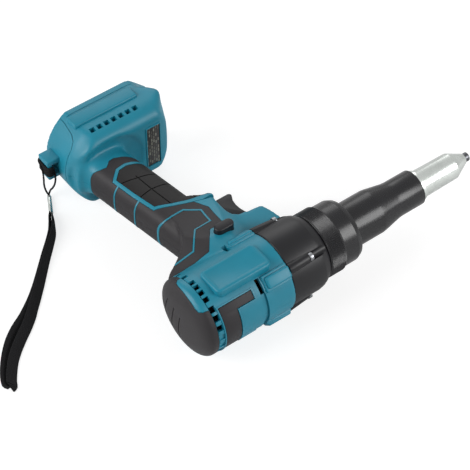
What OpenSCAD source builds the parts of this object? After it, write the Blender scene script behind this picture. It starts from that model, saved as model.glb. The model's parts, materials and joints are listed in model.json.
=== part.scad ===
// Battery rivet tool without its battery, lying on its right side.
// Tool axes: X along the barrel to the nose, Y from the barrel to the foot, Z to the left side.
// All sizes are in millimetres.

/* [Barrel] */
// Outside radius of the plastic barrel
barrel_r = 32.5; // [31.5:0.25:36]
// Wall of the plastic shells
wall = 3; // [2.5:0.25:3.5]
// Length of the rear cap
cap_len = 6; // [5:0.5:9]
// How far the rear cap rounds in towards the axis
cap_round = 12; // [8:0.5:16]
// Length of the plastic barrel
shell_len = 75; // [75:0.5:90]
// Radius of the gear housing
gear_r = 32; // [30.5:0.25:34]
// Radius of the four screw lugs
lug_r = 4.5; // [4:0.25:5.5]
// Length of the plastic screw lugs
lug_len = 20; // [14:1:26]
// Length of the gear housing's screw lugs
gear_lug_len = 20; // [14:1:24]
// Length of the raised pad on each side of the barrel
pad_len = 49.5; // [40:0.5:54]
// Height of the raised pad on each side of the barrel
pad_high = 24; // [18:0.5:28]
// Share of the pad's height that lies above the barrel axis
pad_up_share = 0.7; // [0.5:0.05:0.8]
// Distance of the pad's face from the middle plane
pad_out = 34.5; // [33.5:0.25:36]

/* [Nose] */
// Length of the lock ring
ring_len = 35; // [30:0.5:40]
// Radius of the lock ring's knurl
ring_r = 28; // [26:0.25:30]
// Length of the lock ring's knurl
knurl_len = 16; // [10:0.5:20]
// Radius of the nose housing at its rear
nose_r = 18.8; // [17.8:0.1:20]
// Length of the nose housing's rear part
nose_rear_len = 29; // [24:0.5:34]
// Length of the nose housing's taper
nose_taper_len = 18.5; // [14:0.5:24]
// Length of the nose housing's front part
nose_front_len = 23; // [18:0.5:30]
// Radius of the nose housing at its front
nose_front_r = 15.1; // [13.8:0.1:16]
// Radius of the nozzle sleeve
sleeve_r = 11.8; // [11.6:0.1:13.4]
// Length of the nozzle sleeve up to its cone
sleeve_len = 38.5; // [38.5:0.5:46]
// Length of the nozzle sleeve's cone
cone_len = 14; // [10:0.5:18]
// Radius of the cone's small end
cone_r = 4.4; // [4:0.1:5]
// Length of the nosepiece that shows
tip_len = 4; // [3:0.25:6]
// Radius of the nosepiece's head
tip_r = 3.8; // [3.4:0.1:4.2]
// Radius of the bore that takes a rivet's mandrel
mandrel_r = 1.6; // [1.2:0.05:2]

/* [Grip] */
// Depth of the grip from front to back
grip_depth = 39; // [37:0.5:44]
// Width of the grip
grip_width = 36; // [35:0.5:42]
// Rake of the grip in degrees
grip_rake = 9; // [7:0.5:11]
// Thickness of the rubber overmould
rubber_t = 2; // [1.5:0.25:2.5]
// Where the grip's middle line stands, as a share of the plastic barrel's length
grip_place_share = 0.597; // [0.575:0.005:0.625]
// Distance of the grip's middle from the barrel axis
grip_y = 97; // [95:0.5:100]

/* [Foot] */
// Length of the foot
foot_len = 100; // [96:1:108]
// Width over the foot's side panels
foot_width = 74; // [70:1:80]
// Distance from the barrel axis to the underside of the foot
drop = 206; // [204:0.5:216]
// Height of the foot's sides
foot_side = 31; // [29:0.5:36]
// Height of the foot's crown above its sides
crown = 12.5; // [10:0.5:15]

/* [Controls] */
// Width of the trigger
trigger_width = 18; // [15:0.5:20]
// Travel of the trigger
trigger_travel = 6; // [4:0.5:7]
// Length of the direction button
button_len = 17; // [14:0.5:20]
// Height of the direction button
button_high = 8.4; // [7:0.2:9]
// Travel of the direction button
button_travel = 5; // [3:0.5:6]

/* [Drive] */
// Length of the pull stroke
stroke = 25; // [20:0.5:26]
// Share of the motor's room that the stator fills
stator_share = 0.743; // [0.6:0.01:0.8]
// Radius of the motor's stator
stator_r = 26; // [25:0.25:27]
// Face width of the gears
gear_face = 10; // [8:0.5:11]
// Module of the gears
gear_module = 1; // [0.95:0.01:1.03]
// Radius of the lead screw
screw_r = 7; // [6:0.1:7.4]

/* [Clearances] */
// Gap between pieces that slide past each other
fit_gap = 0.4; // [0.3:0.05:0.5]
// Gap between a shaft and the bearing that it turns in
run_gap = 0.08; // [0.05:0.01:0.1]

/* [Strap] */
// Radius of the thin cord
cord_r = 0.8; // [0.6:0.1:1]
// Width of the webbing
band_w = 9.5; // [8:0.5:12]
// Thickness of the webbing
band_t = 1.6; // [1.2:0.1:2]
// Radius of the metal crimp
crimp_r = 1.8; // [1.7:0.1:2.2]

/* [Hidden] */

// Colours
teal = [0.18, 0.53, 0.60];
rubber_grey = [0.27, 0.27, 0.28];
black = [0.15, 0.15, 0.16];
steel = [0.70, 0.71, 0.72];
zinc = [0.84, 0.86, 0.84];
copper = [0.72, 0.45, 0.25];
board_green = [0.10, 0.35, 0.22];

// Rounds drawn as true circles
round_fn = 48;
// One overrun for all cuts
cut = 1;

// Stations along the barrel
shell_in_r = barrel_r - wall;
shell_x1 = cap_len + shell_len;
gear_spigot_len = 6;
plate_len = 4;
plate_x0 = shell_x1 - gear_spigot_len;
plate_x1 = plate_x0 + plate_len;
gear_gap = 0.6;
carrier_len = 4;
sun_1_x0 = plate_x1 + gear_gap;
sun_1_x1 = sun_1_x0 + gear_face;
carrier_1_x0 = sun_1_x1 + gear_gap;
carrier_1_x1 = carrier_1_x0 + carrier_len;
sun_2_x0 = carrier_1_x1 + gear_gap;
sun_2_x1 = sun_2_x0 + gear_face;
carrier_2_x0 = sun_2_x1 + gear_gap;
carrier_2_x1 = carrier_2_x0 + carrier_len;
flange_len = 3;
flange_x1 = carrier_2_x1 + flange_len;
thrust_len = 6;
thrust_x0 = flange_x1 + run_gap;
thrust_x1 = thrust_x0 + thrust_len;
front_wall_len = 4;
front_wall_x1 = thrust_x1 + front_wall_len;
gear_land = 1.6;
joint_chamfer = 1;
gear_x1 = thrust_x1 + gear_land;
ring_x1 = gear_x1 + ring_len;
thread_len = 19;
thread_x1 = gear_x1 + thread_len;
nose_x1 = ring_x1 + nose_rear_len + nose_taper_len + nose_front_len;
cone_x0 = nose_x1 + sleeve_len;
cone_x1 = cone_x0 + cone_len;
tool_len = cone_x1 + tip_len;

// Gear counts, ratio five in each stage
sun_teeth = 12;
planet_teeth = 18;
ring_teeth = sun_teeth + 2 * planet_teeth;
planet_count = 3;
pressure_angle = 20;
addendum_share = 0.7;
dedendum_share = 1.0;
backlash_share = 0.3;
planet_orbit = gear_module * (sun_teeth + planet_teeth) / 2;
ring_wall = 2;
ring_out_r = gear_module * (ring_teeth / 2 + dedendum_share) + ring_wall;
pin_r = 3;
carrier_r = planet_orbit + pin_r + cut;

// Motor
bearing_r = 8;
bearing_bore_r = 2.5;
bearing_len = 6;
bearing_inset = 2;
boss_wall = 3;
rear_bearing_x0 = cap_len + bearing_inset;
rear_bearing_x1 = rear_bearing_x0 + bearing_len;
fan_gap = 2;
fan_len = 7;
fan_r = 24.5;
fan_hub_r = 7;
fan_blades = 11;
blade_t = 1.4;
fan_x0 = rear_bearing_x1 + fan_gap;
fan_x1 = fan_x0 + fan_len;
coil_over = 4;
stator_x0 = fan_x1 + fan_gap + coil_over;
rotor_r = 14;
air_gap = 0.5;
slot_count = 6;
slot_in_r = 16.5;
slot_out_r = 22.5;
slot_w = 8;
shaft_r = 3;
front_bearing_x0 = plate_x0 - bearing_len;
motor_room = front_bearing_x0 - cut - coil_over - stator_x0;
stator_x1 = stator_x0 + stator_share * motor_room;
boss_r = bearing_r + boss_wall;
seat_len = 5;

// Pull train
nut_r = 12;
nut_len = 20;
nut_stop = 4;
nut_x0 = front_wall_x1 + stroke + nut_stop;
nut_x1 = nut_x0 + nut_len;
key_w = 4;
key_out = 2.4;
screw_over = 4;
screw_x1 = nut_x1 + screw_over;
journal_r = 5;
flange_r = 11;
thrust_r = 14;
thread_r = 22;
nut_bore_r = nut_r + fit_gap;
lip_len = 4;
lip_x0 = ring_x1 - lip_len;
flange_x1_nose = lip_x0 - fit_gap;
rod_r = 9.5;
rod_wall = 1.9;
rod_end = 4;
rod_bore_r = 3;
nose_bore_r = 10.8;
case_r = 10;
case_wall = 1.6;
case_clear = 0.5;
case_x1 = cone_x0 - case_clear;
sleeve_bore_r = case_r + fit_gap;
jaw_cone_len = 17;
jaw_cone_x0 = case_x1 - jaw_cone_len;
jaw_small_r = 5.2;
case_in_r = case_r - case_wall;
jaw_gap = 0.2;
jaw_split = 0.8;
jaw_back = 1;
jaw_front = 1.5;
jaw_x0 = jaw_cone_x0 + jaw_back;
jaw_x1 = case_x1 - jaw_front;
jaw_slope = (case_in_r - jaw_small_r) / jaw_cone_len;
pusher_len = 5;
pusher_x1 = jaw_x0 - fit_gap;
pusher_x0 = pusher_x1 - pusher_len;
pusher_r = 6.5;
tip_shank_r = 3;
sleeve_front_gap = 0.4;
tip_x0 = case_x1 + fit_gap;
sleeve_cavity_x1 = cone_x0 + sleeve_front_gap;

// Lugs and their screws
lug_in = 1;
lug_orbit = barrel_r - lug_in;
lug_angles = [45, 135, 225, 315];
lug_screw_r = 1.75;
lug_head_r = 3.4;
lug_head_len = 3;
lug_screw_len = 36;
lug_x0 = shell_x1 - lug_len;
gear_lug_x1 = shell_x1 + gear_lug_len;

// Grip, neck and foot outlines
grip_x = cap_len + grip_place_share * shell_len;
foot_back = 38.3;
foot_x0 = grip_x - foot_back;
foot_slope = 8;
foot_x1 = foot_x0 + foot_len;
foot_half = foot_width / 2;
panel_out = 1;
foot_in_half = foot_half - panel_out;
foot_arc_share = 1.167;
foot_arc_r = foot_in_half * foot_arc_share;
foot_arc_x = foot_x0 + foot_arc_r;
foot_arc_steps = 14;
foot_arc_a = asin(foot_in_half / foot_arc_r);
foot_nose_len = 20;
foot_nose_half = 15;
foot_y0 = drop - foot_side;
crown_y = foot_y0 - crown;
crown_lap = 2;
crown_over = crown_lap + 2 * wall;
foot_rear = [for (i = [0:foot_arc_steps])
    let (a = foot_arc_a * (1 - 2 * i / foot_arc_steps))
    [foot_arc_x - foot_arc_r * cos(a), foot_arc_r * sin(a)]];
foot_plan = concat(
    foot_rear,
    [[foot_x1 - foot_nose_len, -foot_in_half], [foot_x1, -foot_nose_half],
     [foot_x1, foot_nose_half], [foot_x1 - foot_nose_len, foot_in_half]]);
// Front corner of the crown seen from above, as shares of the foot's length and half width
crown_corner_shares = [[0.815, 1], [0.885, 0.965], [0.93, 0.85], [0.945, 0.67]];
crown_plan = concat(
    foot_rear,
    [for (s = crown_corner_shares) [foot_x0 + s[0] * foot_len, -s[1] * foot_in_half]],
    [for (i = [3:-1:0]) [foot_x0 + crown_corner_shares[i][0] * foot_len,
        crown_corner_shares[i][1] * foot_in_half]]);
// Crown of the foot seen from the side, as shares of its length and height
crown_side_shares = [[0.02, 1], [0.055, 0.45], [0.11, 0.12], [0.18, 0], [0.815, 0], [0.895, 0.2],
    [0.932, 0.65], [0.945, 1.15]];
crown_side = concat(
    [for (s = crown_side_shares) [foot_x0 + s[0] * foot_len, crown_y + s[1] * crown]],
    [[foot_x1, foot_y0 + crown_over], [foot_x0, foot_y0 + crown_over]]);
foot_side_line = [[foot_x0, foot_y0], [foot_x1 - foot_slope, foot_y0], [foot_x1, drop],
    [foot_x1, drop + foot_side], [foot_x0, drop + foot_side]];
// Crown of the foot seen from the front, as shares of its height and half width
crown_front_shares = [[1, 1], [0.5, 0.97], [0.18, 0.9], [0, 0.79]];
crown_front = concat(
    [[foot_y0 + crown_over, foot_in_half]],
    [for (s = crown_front_shares) [crown_y + s[0] * crown, s[1] * foot_in_half]],
    [for (i = [3:-1:0]) [crown_y + crown_front_shares[i][0] * crown,
        -crown_front_shares[i][1] * foot_in_half]],
    [[foot_y0 + crown_over, -foot_in_half]]);

// Neck between barrel and grip, as shares of the plastic barrel's length and the grip's distance
neck_side_shares = [[0.02, 0.08], [0.115, 0.08], [1.43, 0.08], [1.453, 0.34], [1.40, 0.495],
    [1.36, 0.51], [1.133, 0.52], [1.047, 0.557], [1.02, 0.618], [1.02, 0.72], [1.04, 0.788],
    [1.062, 0.80], [1.045, 0.835], [0.95, 0.85], [0.82, 0.91], [0.52, 0.93], [0.50, 0.78],
    [0.47, 0.66], [0.41, 0.54], [0.32, 0.465], [0.2, 0.415], [0.08, 0.37], [0.02, 0.30]];
neck_side = [for (s = neck_side_shares) [cap_len + s[0] * shell_len, s[1] * grip_y]];
// Hollow of the neck, as shares of the same two sizes
neck_hollow_shares = [[0.10, 0.08], [1.32, 0.08], [1.346, 0.34], [1.31, 0.45], [1.1, 0.47], [0.973, 0.515],
    [0.947, 0.64], [0.947, 0.74], [0.90, 0.79], [0.8, 0.86], [0.57, 0.88], [0.55, 0.78], [0.51, 0.64],
    [0.43, 0.49], [0.33, 0.405], [0.22, 0.36], [0.10, 0.33]];
neck_hollow = [for (s = neck_hollow_shares) [cap_len + s[0] * shell_len, s[1] * grip_y]];
// Half width of the neck on the way down, as shares of the grip's distance and the barrel radius
neck_front_shares = [[0.08, 0.83], [0.31, 0.83], [0.46, 0.74], [0.62, 0.615], [0.77, 0.555],
    [0.98, 0.53]];
neck_front = concat(
    [for (s = neck_front_shares) [s[0] * grip_y, s[1] * barrel_r]],
    [for (i = [5:-1:0]) [neck_front_shares[i][0] * grip_y, -neck_front_shares[i][1] * barrel_r]]);
// Half width of the neck along the barrel, as shares of the barrel's length and radius
neck_plan_shares = [[0.02, 0.22], [0.1, 0.32], [0.2, 0.42], [0.3, 0.54], [0.42, 0.68], [0.55, 0.78],
    [0.80, 0.8], [0.93, 0.65], [1.08, 0.47], [1.453, 0.37]];
neck_plan = concat(
    [for (s = neck_plan_shares) [cap_len + s[0] * shell_len, s[1] * barrel_r]],
    [for (i = [9:-1:0]) [cap_len + neck_plan_shares[i][0] * shell_len,
        -neck_plan_shares[i][1] * barrel_r]]);

// Section of the grip, a rounded oblong from one formula
grip_steps = 28;
grip_power = 0.62;
function signed_power(v, p) = sign(v) * pow(abs(v), p);
grip_section = [for (i = [0:grip_steps - 1])
    let (a = 360 * i / grip_steps)
    [grip_depth / 2 * signed_power(cos(a), grip_power),
     grip_width / 2 * signed_power(sin(a), grip_power)]];
// Bowl in the crown round the grip's root, as shares of the foot's length and half width
bowl_place_share = 0.355;
bowl_len_share = 0.255;
bowl_half_share = 0.70;
bowl_deep = 4;
bowl_steps = 24;
bowl_power = 0.8;
bowl_plan = [for (i = [0:bowl_steps - 1])
    let (a = 360 * i / bowl_steps)
    [foot_x0 + (bowl_place_share + bowl_len_share * signed_power(cos(a), bowl_power)) * foot_len,
     bowl_half_share * foot_in_half * signed_power(sin(a), bowl_power)]];
grip_up = 40;
grip_down = drop - foot_side - grip_y + crown_over;

// Where the rubber lies, as shares of the barrel's length and the grip's distance
rubber_shares = [[0.02, 0.33], [0.16, 0.30], [0.50, 0.29], [0.69, 0.475], [0.845, 0.455],
    [0.88, 0.72], [0.80, 0.83], [1.0, 0.97], [1.0, 1.54], [-0.1, 1.54], [-0.1, 0.9], [-0.1, 0.33]];
rubber_area = [for (s = rubber_shares) [cap_len + s[0] * shell_len, s[1] * grip_y]];
// Where the front pad lies on the grip, in the grip's own axes
front_pad_half = 11;
front_pad_in = 9;
front_pad_up = 2;
front_pad_down = 50;

// Barrel top band
band_in = 1.5;
top_band_gap = 2;
top_band_len = 14;
top_band_arm = 16;
top_band_a0 = 42;
top_band_a1 = 54;

// Vents at the rear of the barrel, angles from the left side to the top
vent_angles = [-46, -27, -7, 4, 13, 24, 39, 52, 67];
vent_in = 3.5;
vent_x0 = cap_len + vent_in;
vent_len = 4;
vent_w = 3.2;
top_band_x0 = vent_x0 + vent_len + top_band_gap;

// Foot details
foot_vent = 3.9;
foot_vent_pitch = 6.8;
foot_vent_count = 7;
foot_vent_in = 26.3;
foot_vent_x = foot_x0 + foot_vent_in;
foot_vent_deep = 9;
foot_vent_drop = 0.5;
panel_in = 16.5;
panel_x0 = foot_x0 + panel_in;
panel_len = 59.5;
panel_drop = 10;
panel_y0 = foot_y0 + panel_drop;
panel_high = 12.5;
plate_slot_in = 68.5;
plate_slot_x = foot_x0 + plate_slot_in;
plate_slot_len = 12.2;
plate_slot_half = 21.7;
plate_slot_t = 0.8;
heel_len = 18;
heel_drop = 3;
heel_y0 = foot_y0 + heel_drop;
base_drop = 11;
base_y0 = foot_y0 + base_drop;
base_t = 4;
channel_half = 20;
channel_in = 21.5;
channel_x0 = foot_x0 + channel_in;
rail_in = 4;
rail_t = 3;
rail_rise = 6;
rail_y = drop - rail_rise;
eye_out = 10;
eye_x0 = foot_x0 - eye_out;
eye_rise = 6;
eye_high = 12;
eye_y1 = drop - eye_rise;
eye_y0 = eye_y1 - eye_high;
eye_half = 10.5;
eye_arm = 4.3;
eye_post = 3.6;
eye_hole = 6;
eye_in = 4.5;
eye_root = foot_x0 + eye_in;

// Housing screws of the neck, as shares of the barrel's length, the grip's distance and the barrel radius
neck_screw_shares = [[0.507, 0.454, 0.615], [1.293, 0.428, 0.354]];
// Housing screws of the grip, as shares of its depth, of the way down it and of its half width
grip_screw_shares = [[-0.038, 0.226, 0.79], [-0.038, 0.604, 0.79]];
// Housing screws of the foot, as shares of its length, of its side's height and of its half width
foot_screw_shares = [[0.155, -0.065, 0.676], [0.905, 0.113, 0.686]];
function from_grip(x, y) = [grip_x + x * cos(grip_rake) - y * sin(grip_rake),
    grip_y + x * sin(grip_rake) + y * cos(grip_rake)];
// Each screw's place and the reach of its boss
screw_places = concat(
    [for (s = neck_screw_shares) [cap_len + s[0] * shell_len, s[1] * grip_y, s[2] * barrel_r]],
    [for (s = grip_screw_shares) let (p = from_grip(s[0] * grip_depth, s[1] * grip_down))
        [p[0], p[1], s[2] * grip_width / 2]],
    [for (s = foot_screw_shares) [foot_x0 + s[0] * foot_len, foot_y0 + s[1] * foot_side, s[2] * foot_half]]);
screw_boss_r = 5;
screw_shank_r = 1.6;
screw_head_r = 3.2;
screw_head_len = 2.6;
screw_seat = 8;
screw_reach = 9;

// Trigger and switch
trigger_y0_share = 0.53;
trigger_y1_share = 0.793;
trigger_y0 = trigger_y0_share * grip_y;
trigger_y1 = trigger_y1_share * grip_y;
trigger_inset = 2;
trigger_back = shell_x1 - trigger_inset;
trigger_deep = 21;
trigger_side_shares = [[0, 0], [1.0, 0], [0.93, 0.12], [0.875, 0.3], [0.86, 0.5], [0.90, 0.7],
    [0.99, 0.84], [1.03, 0.91], [0.98, 0.97], [0.9, 1], [0, 1]];
trigger_side = [for (s = trigger_side_shares) [trigger_back + s[0] * trigger_deep,
    trigger_y0 + s[1] * (trigger_y1 - trigger_y0)]];
plunger_r = 3;
plunger_share = 0.6;
plunger_y = trigger_y0 + plunger_share * (trigger_y1 - trigger_y0);
switch_x_shares = [0.56, 0.80];
switch_x0 = cap_len + switch_x_shares[0] * shell_len;
switch_x1 = cap_len + switch_x_shares[1] * shell_len;
plunger_in = 6;
plunger_len = trigger_back - switch_x1 + plunger_in;
switch_drop = 4.6;
switch_high = 25;
switch_y0 = trigger_y0 + switch_drop;
switch_y1 = switch_y0 + switch_high;
switch_half = 9;
switch_bore = 16;
trigger_spring_r = 5;
trigger_wire_r = 0.5;
trigger_curls = 6;

// Direction button
button_in = 15.5;
button_drop = 4.9;
button_x = shell_x1 - button_in;
button_y = barrel_r + button_drop;
button_proud = 5;
button_half_in = 1;
button_side_share = 0.79;
button_side = barrel_r * button_side_share;

// Electrics
board_in = 27.5;
board_x0 = foot_x0 + board_in;
board_len = 54;
board_half = 22;
board_t = 1.6;
board_gap = 2.4;
post_r = 2;
post_inset = 4;
part_len = 14;
part_high = 5;
part_half = 8;
terminal_in = 29.5;
terminal_x0 = foot_x0 + terminal_in;
terminal_len = 40;
terminal_half = 17;
terminal_t = 5;
blade_len = 30;
blade_deep = 6;
blade_thick = 1;
blade_pitch = 9;
blade_count = 4;
lead_r = 1.4;
lead_out = 9;
lead_side = 5;
motor_lead_in = 2.5;
motor_lead_x = stator_x1 - motor_lead_in;
motor_lead_pitch = 6;

// Springs
jaw_spring_r = 5;
jaw_wire_r = 0.6;
jaw_curls = 6;
curl_rings = 8;
wire_sides = 6;

// Strap route, chosen by hand from the strap eye on; the cord's heights are shares of half the foot's width
floor_z = -foot_half;
crimp_z = floor_z + crimp_r;
crimp_start = [1.5, 6];
crimp_end = [-7.5, -10.5];
crimp_from = [eye_x0 + crimp_start[0], eye_y0 + crimp_start[1], crimp_z];
crimp_to = [eye_x0 + crimp_end[0], eye_y0 + crimp_end[1], crimp_z];
cord_side = 0.85;
cord_route = [[1.1, 8.5, -0.865], [0.1, 9, -0.73], [-1.2, 7.5, -0.541], [-1.8, 6, -0.324],
    [-1.9, 6, -0.108], [-1.8, 8, 0.027], [-1.5, 11.5, 0.095], [0.1, 13.7, 0.108], [2.7, 13.8, 0.095],
    [4.7, 12.6, 0.076], [5.4, 8, 0.043], [5.5, 4, -0.005], [5.4, 0.5, -0.065], [4.9, -1.6, -0.162],
    [4.3, -2, -0.297], [3.9, -0.5, -0.459], [3.7, 3, -0.649], [3.5, 6.5, -0.797]];
left_route = [[-11.5, -15], [-16, -22], [-21.5, -29.5], [-29.5, -37.5], [-38.5, -46], [-48, -55.5],
    [-57.5, -65.2], [-67, -74.5], [-75.9, -82], [-85.9, -89.2], [-96.3, -95.4], [-105.5, -103],
    [-114.6, -112.2], [-122.3, -121.9], [-127.8, -130.5]];
right_route = [[-130.5, -137], [-129.3, -139.6], [-127, -138.8], [-124.7, -134.3], [-119.7, -127.1],
    [-113.4, -119.3], [-105.9, -112.2], [-97.2, -105.2], [-88.1, -98.5], [-79.5, -91.3], [-73.3, -85],
    [-65, -77], [-55.5, -67.7], [-46, -58], [-36.5, -48.5], [-27.5, -40], [-19, -31.5], [-13.5, -23.5],
    [-9.3, -16]];
band_taper = 3;
web_end_share = 0.7;
web_end = crimp_r * web_end_share;

// Places the tool axes in the row frame
module place() {
    translate([-tool_len / 2, -(drop - barrel_r) / 2, foot_half]) children();
}

// Outline moved inwards by a wall
function unit(v) = v / norm(v);
function edge_normal(a, b) = let (t = unit(b - a)) [-t[1], t[0]];
function area_sign(p) = sign([for (i = 0, s = 0; i <= len(p); s = s + (i < len(p)
    ? p[i][0] * p[(i + 1) % len(p)][1] - p[(i + 1) % len(p)][0] * p[i][1] : 0), i = i + 1) s][len(p)]);
function inset(p, d) = let (n = len(p), s = area_sign(p))
    [for (i = [0:n - 1])
        let (m = s * edge_normal(p[(i + n - 1) % n], p[i]),
             k = s * edge_normal(p[i], p[(i + 1) % n]),
             w = 1 + m * k)
        p[i] + d * (m + k) / w];

// Basic solids along the tool axes
module rod_x(x0, x1, r) {
    translate([x0, 0, 0]) rotate([0, 90, 0]) cylinder(h = x1 - x0, r = r, $fn = round_fn);
}
module tube_x(x0, x1, r_out, r_in) {
    difference() {
        rod_x(x0, x1, r_out);
        rod_x(x0 - cut, x1 + cut, r_in);
    }
}
module spin_x(points) {
    rotate([0, 90, 0]) rotate_extrude($fn = round_fn) polygon([for (p = points) [p[1], p[0]]]);
}
module along_z(points, half) {
    translate([0, 0, -half]) linear_extrude(height = 2 * half) polygon(points);
}
module along_x(points, x0, x1) {
    translate([x0, 0, 0]) rotate([90, 0, 90]) linear_extrude(height = x1 - x0) polygon(points);
}
module along_y(points, y0, y1) {
    translate([0, y1, 0]) rotate([90, 0, 0]) linear_extrude(height = y1 - y0) polygon(points);
}
module block(x0, x1, y0, y1, z0, z1) {
    translate([x0, y0, z0]) cube([x1 - x0, y1 - y0, z1 - z0]);
}
module pin_z(x, y, z0, z1, r) {
    translate([x, y, z0]) cylinder(h = z1 - z0, r = r, $fn = round_fn);
}
module at_lugs() {
    for (a = lug_angles) rotate([a, 0, 0]) translate([0, lug_orbit, 0]) children();
}
module grip_axes() {
    translate([grip_x, grip_y, 0]) rotate([0, 0, grip_rake]) children();
}
module left_half() {
    intersection() {
        children();
        block(-tool_len, tool_len, -drop, 2 * drop, 0, tool_len);
    }
}
module right_half() {
    intersection() {
        children();
        block(-tool_len, tool_len, -drop, 2 * drop, -tool_len, 0);
    }
}

// Outer forms of the grip side of the tool, moved inwards by d
module neck_form(d) {
    intersection() {
        along_z(inset(neck_side, d), barrel_r);
        along_x(inset(neck_front, d), 0, tool_len);
        along_y(inset(neck_plan, d), 0, drop);
    }
}
module grip_form(d) {
    grip_axes() along_y(inset(grip_section, d), -grip_up, grip_down);
}
module foot_form(d) {
    intersection() {
        along_y(inset(foot_plan, d), foot_y0, d > 0 ? drop + cut : drop);
        along_z(inset(foot_side_line, d), foot_half);
    }
    difference() {
        intersection() {
            along_y(inset(crown_plan, d), crown_y, foot_y0 + crown_over - d);
            along_z(inset(crown_side, d), foot_half);
            along_x(inset(crown_front, d), 0, tool_len);
        }
        along_y(inset(bowl_plan, -d), crown_y - cut, crown_y + bowl_deep + d);
    }
}
module hand_form(d) {
    neck_form(d);
    grip_form(d);
}
module rubber_zone() {
    along_z(rubber_area, barrel_r);
}
module front_pad_zone() {
    grip_axes() block(front_pad_in, grip_depth, -front_pad_up, front_pad_down,
        -front_pad_half, front_pad_half);
}
module rubber_skin() {
    difference() {
        intersection() {
            hand_form(0);
            rubber_zone();
        }
        hand_form(rubber_t);
        rod_x(-cut, shell_x1, barrel_r);
        foot_form(0);
        screw_wells();
    }
}
module screw_wells() {
    for (s = screw_places) pin_z(s[0], s[1], -foot_width, -screw_seat, screw_head_r + fit_gap);
}
module vents() {
    for (a = vent_angles, side = [0, 1]) mirror([0, 0, side]) rotate([-a, 0, 0])
        block(vent_x0, vent_x0 + vent_len, -vent_w / 2, vent_w / 2, shell_in_r - cut, barrel_r + cut);
}
module foot_vents() {
    for (i = [0:foot_vent_count - 1], side = [-1, 1])
        translate([foot_vent_x + i * foot_vent_pitch, foot_y0 + foot_vent_drop, side * foot_in_half])
            cube([foot_vent, foot_vent, foot_vent_deep], center = true);
}
module top_wedge(x0, x1, a0, a1) {
    far = 2 * barrel_r;
    steps = 4;
    along_x(concat([[0, 0]], [for (i = [0:steps]) let (a = a0 + (a1 - a0) * i / steps)
        [-far * sin(a), far * cos(a)]]), x0, x1);
}
module top_band_zone() {
    x1 = top_band_x0 + top_band_len;
    intersection() {
        tube_x(top_band_x0, x1 + top_band_arm, barrel_r + cut, barrel_r - band_in);
        union() {
            top_wedge(top_band_x0, x1, top_band_a0, 180 - top_band_a0);
            top_wedge(top_band_x0, x1 + top_band_arm, top_band_a0, top_band_a1);
            top_wedge(top_band_x0, x1 + top_band_arm, 180 - top_band_a1, 180 - top_band_a0);
        }
    }
}
module heel_zone() {
    block(-cut, foot_x0 + heel_len, heel_y0, drop + cut, -foot_width, foot_width);
}
module plate_zone() {
    block(plate_slot_x, plate_slot_x + plate_slot_len, crown_y - cut, crown_y + plate_slot_t,
        -plate_slot_half, plate_slot_half);
}
module button_bar(gap, z0, z1) {
    r = button_high / 2 + gap;
    run = (button_len - button_high) / 2;
    for (s = [-1, 1]) pin_z(button_x + s * run, button_y, z0, z1, r);
    block(button_x - run, button_x + run, button_y - r, button_y + r, z0, z1);
}
module motor_lead_line(r) {
    for (i = [-1, 0, 1]) translate([motor_lead_x, 0, i * motor_lead_pitch]) rotate([-90, 0, 0])
        cylinder(h = switch_y0, r = r, $fn = round_fn);
}

// Plastic shells, drawn whole and then parted at the middle plane
module housing_outside() {
    difference() {
        union() {
            rod_x(cap_len, shell_x1, barrel_r);
            at_lugs() rod_x(lug_x0, shell_x1 - fit_gap, lug_r);
            pad_x0 = cap_len + (shell_len - pad_len) / 2;
            for (side = [-1, 1]) block(pad_x0, pad_x0 + pad_len, -pad_high * pad_up_share,
                pad_high * (1 - pad_up_share),
                min(0, side * pad_out), max(0, side * pad_out));
            difference() {
                union() {
                    difference() {
                        hand_form(0);
                        rubber_zone();
                    }
                    hand_form(rubber_t);
                }
                rod_x(shell_x1 - cut, tool_len, gear_r);
            }
            foot_form(0);
            for (side = [-1, 1]) block(panel_x0, panel_x0 + panel_len, panel_y0, panel_y0 + panel_high,
                min(0, side * foot_half), max(0, side * foot_half));
        }
        block(-cut, cap_len, -drop, drop, -drop, drop);
    }
}
module housing_inside() {
    difference() {
        union() {
            intersection() {
                along_z(neck_hollow, barrel_r);
                along_x(inset(neck_front, wall + rubber_t), 0, tool_len);
                along_y(inset(neck_plan, wall + rubber_t), 0, drop);
            }
            grip_form(wall + rubber_t);
        }
        rod_x(-cut, shell_x1 + cut, barrel_r);
        rod_x(shell_x1 - cut, tool_len, gear_r + wall);
    }
    foot_form(wall);
}
module housing() {
    difference() {
        union() {
            difference() {
                housing_outside();
                housing_inside();
                rod_x(0, shell_x1 + cut, shell_in_r);
            }
            for (i = [0, 1]) {
                x0 = i == 0 ? stator_x0 : stator_x1 - seat_len;
                tube_x(x0, x0 + seat_len, shell_in_r + cut, stator_r);
            }
            for (s = screw_places) pin_z(s[0], s[1], -s[2], s[2], screw_boss_r);
        }
        at_lugs() rod_x(shell_x1 - lug_screw_len + gear_lug_len, shell_x1 + cut, lug_screw_r);
        for (s = screw_places) pin_z(s[0], s[1], -screw_seat - cut, screw_reach, screw_shank_r);
        screw_wells();
        vents();
        foot_vents();
        top_band_zone();
        heel_zone();
        plate_zone();
        block(trigger_back - trigger_travel - cut, tool_len, trigger_y0 - fit_gap, trigger_y1 + fit_gap,
            -trigger_width / 2 - fit_gap, trigger_width / 2 + fit_gap);
        button_bar(fit_gap, -foot_width, foot_width);
        motor_lead_line(lead_r + fit_gap);
        block(foot_x1 - foot_nose_len, foot_x1 + cut, base_y0 + base_t, drop + cut,
            -channel_half, channel_half);
    }
}
module left_housing() { color(teal) place() left_half() housing(); }
module right_housing() { color(teal) place() right_half() housing(); }

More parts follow.
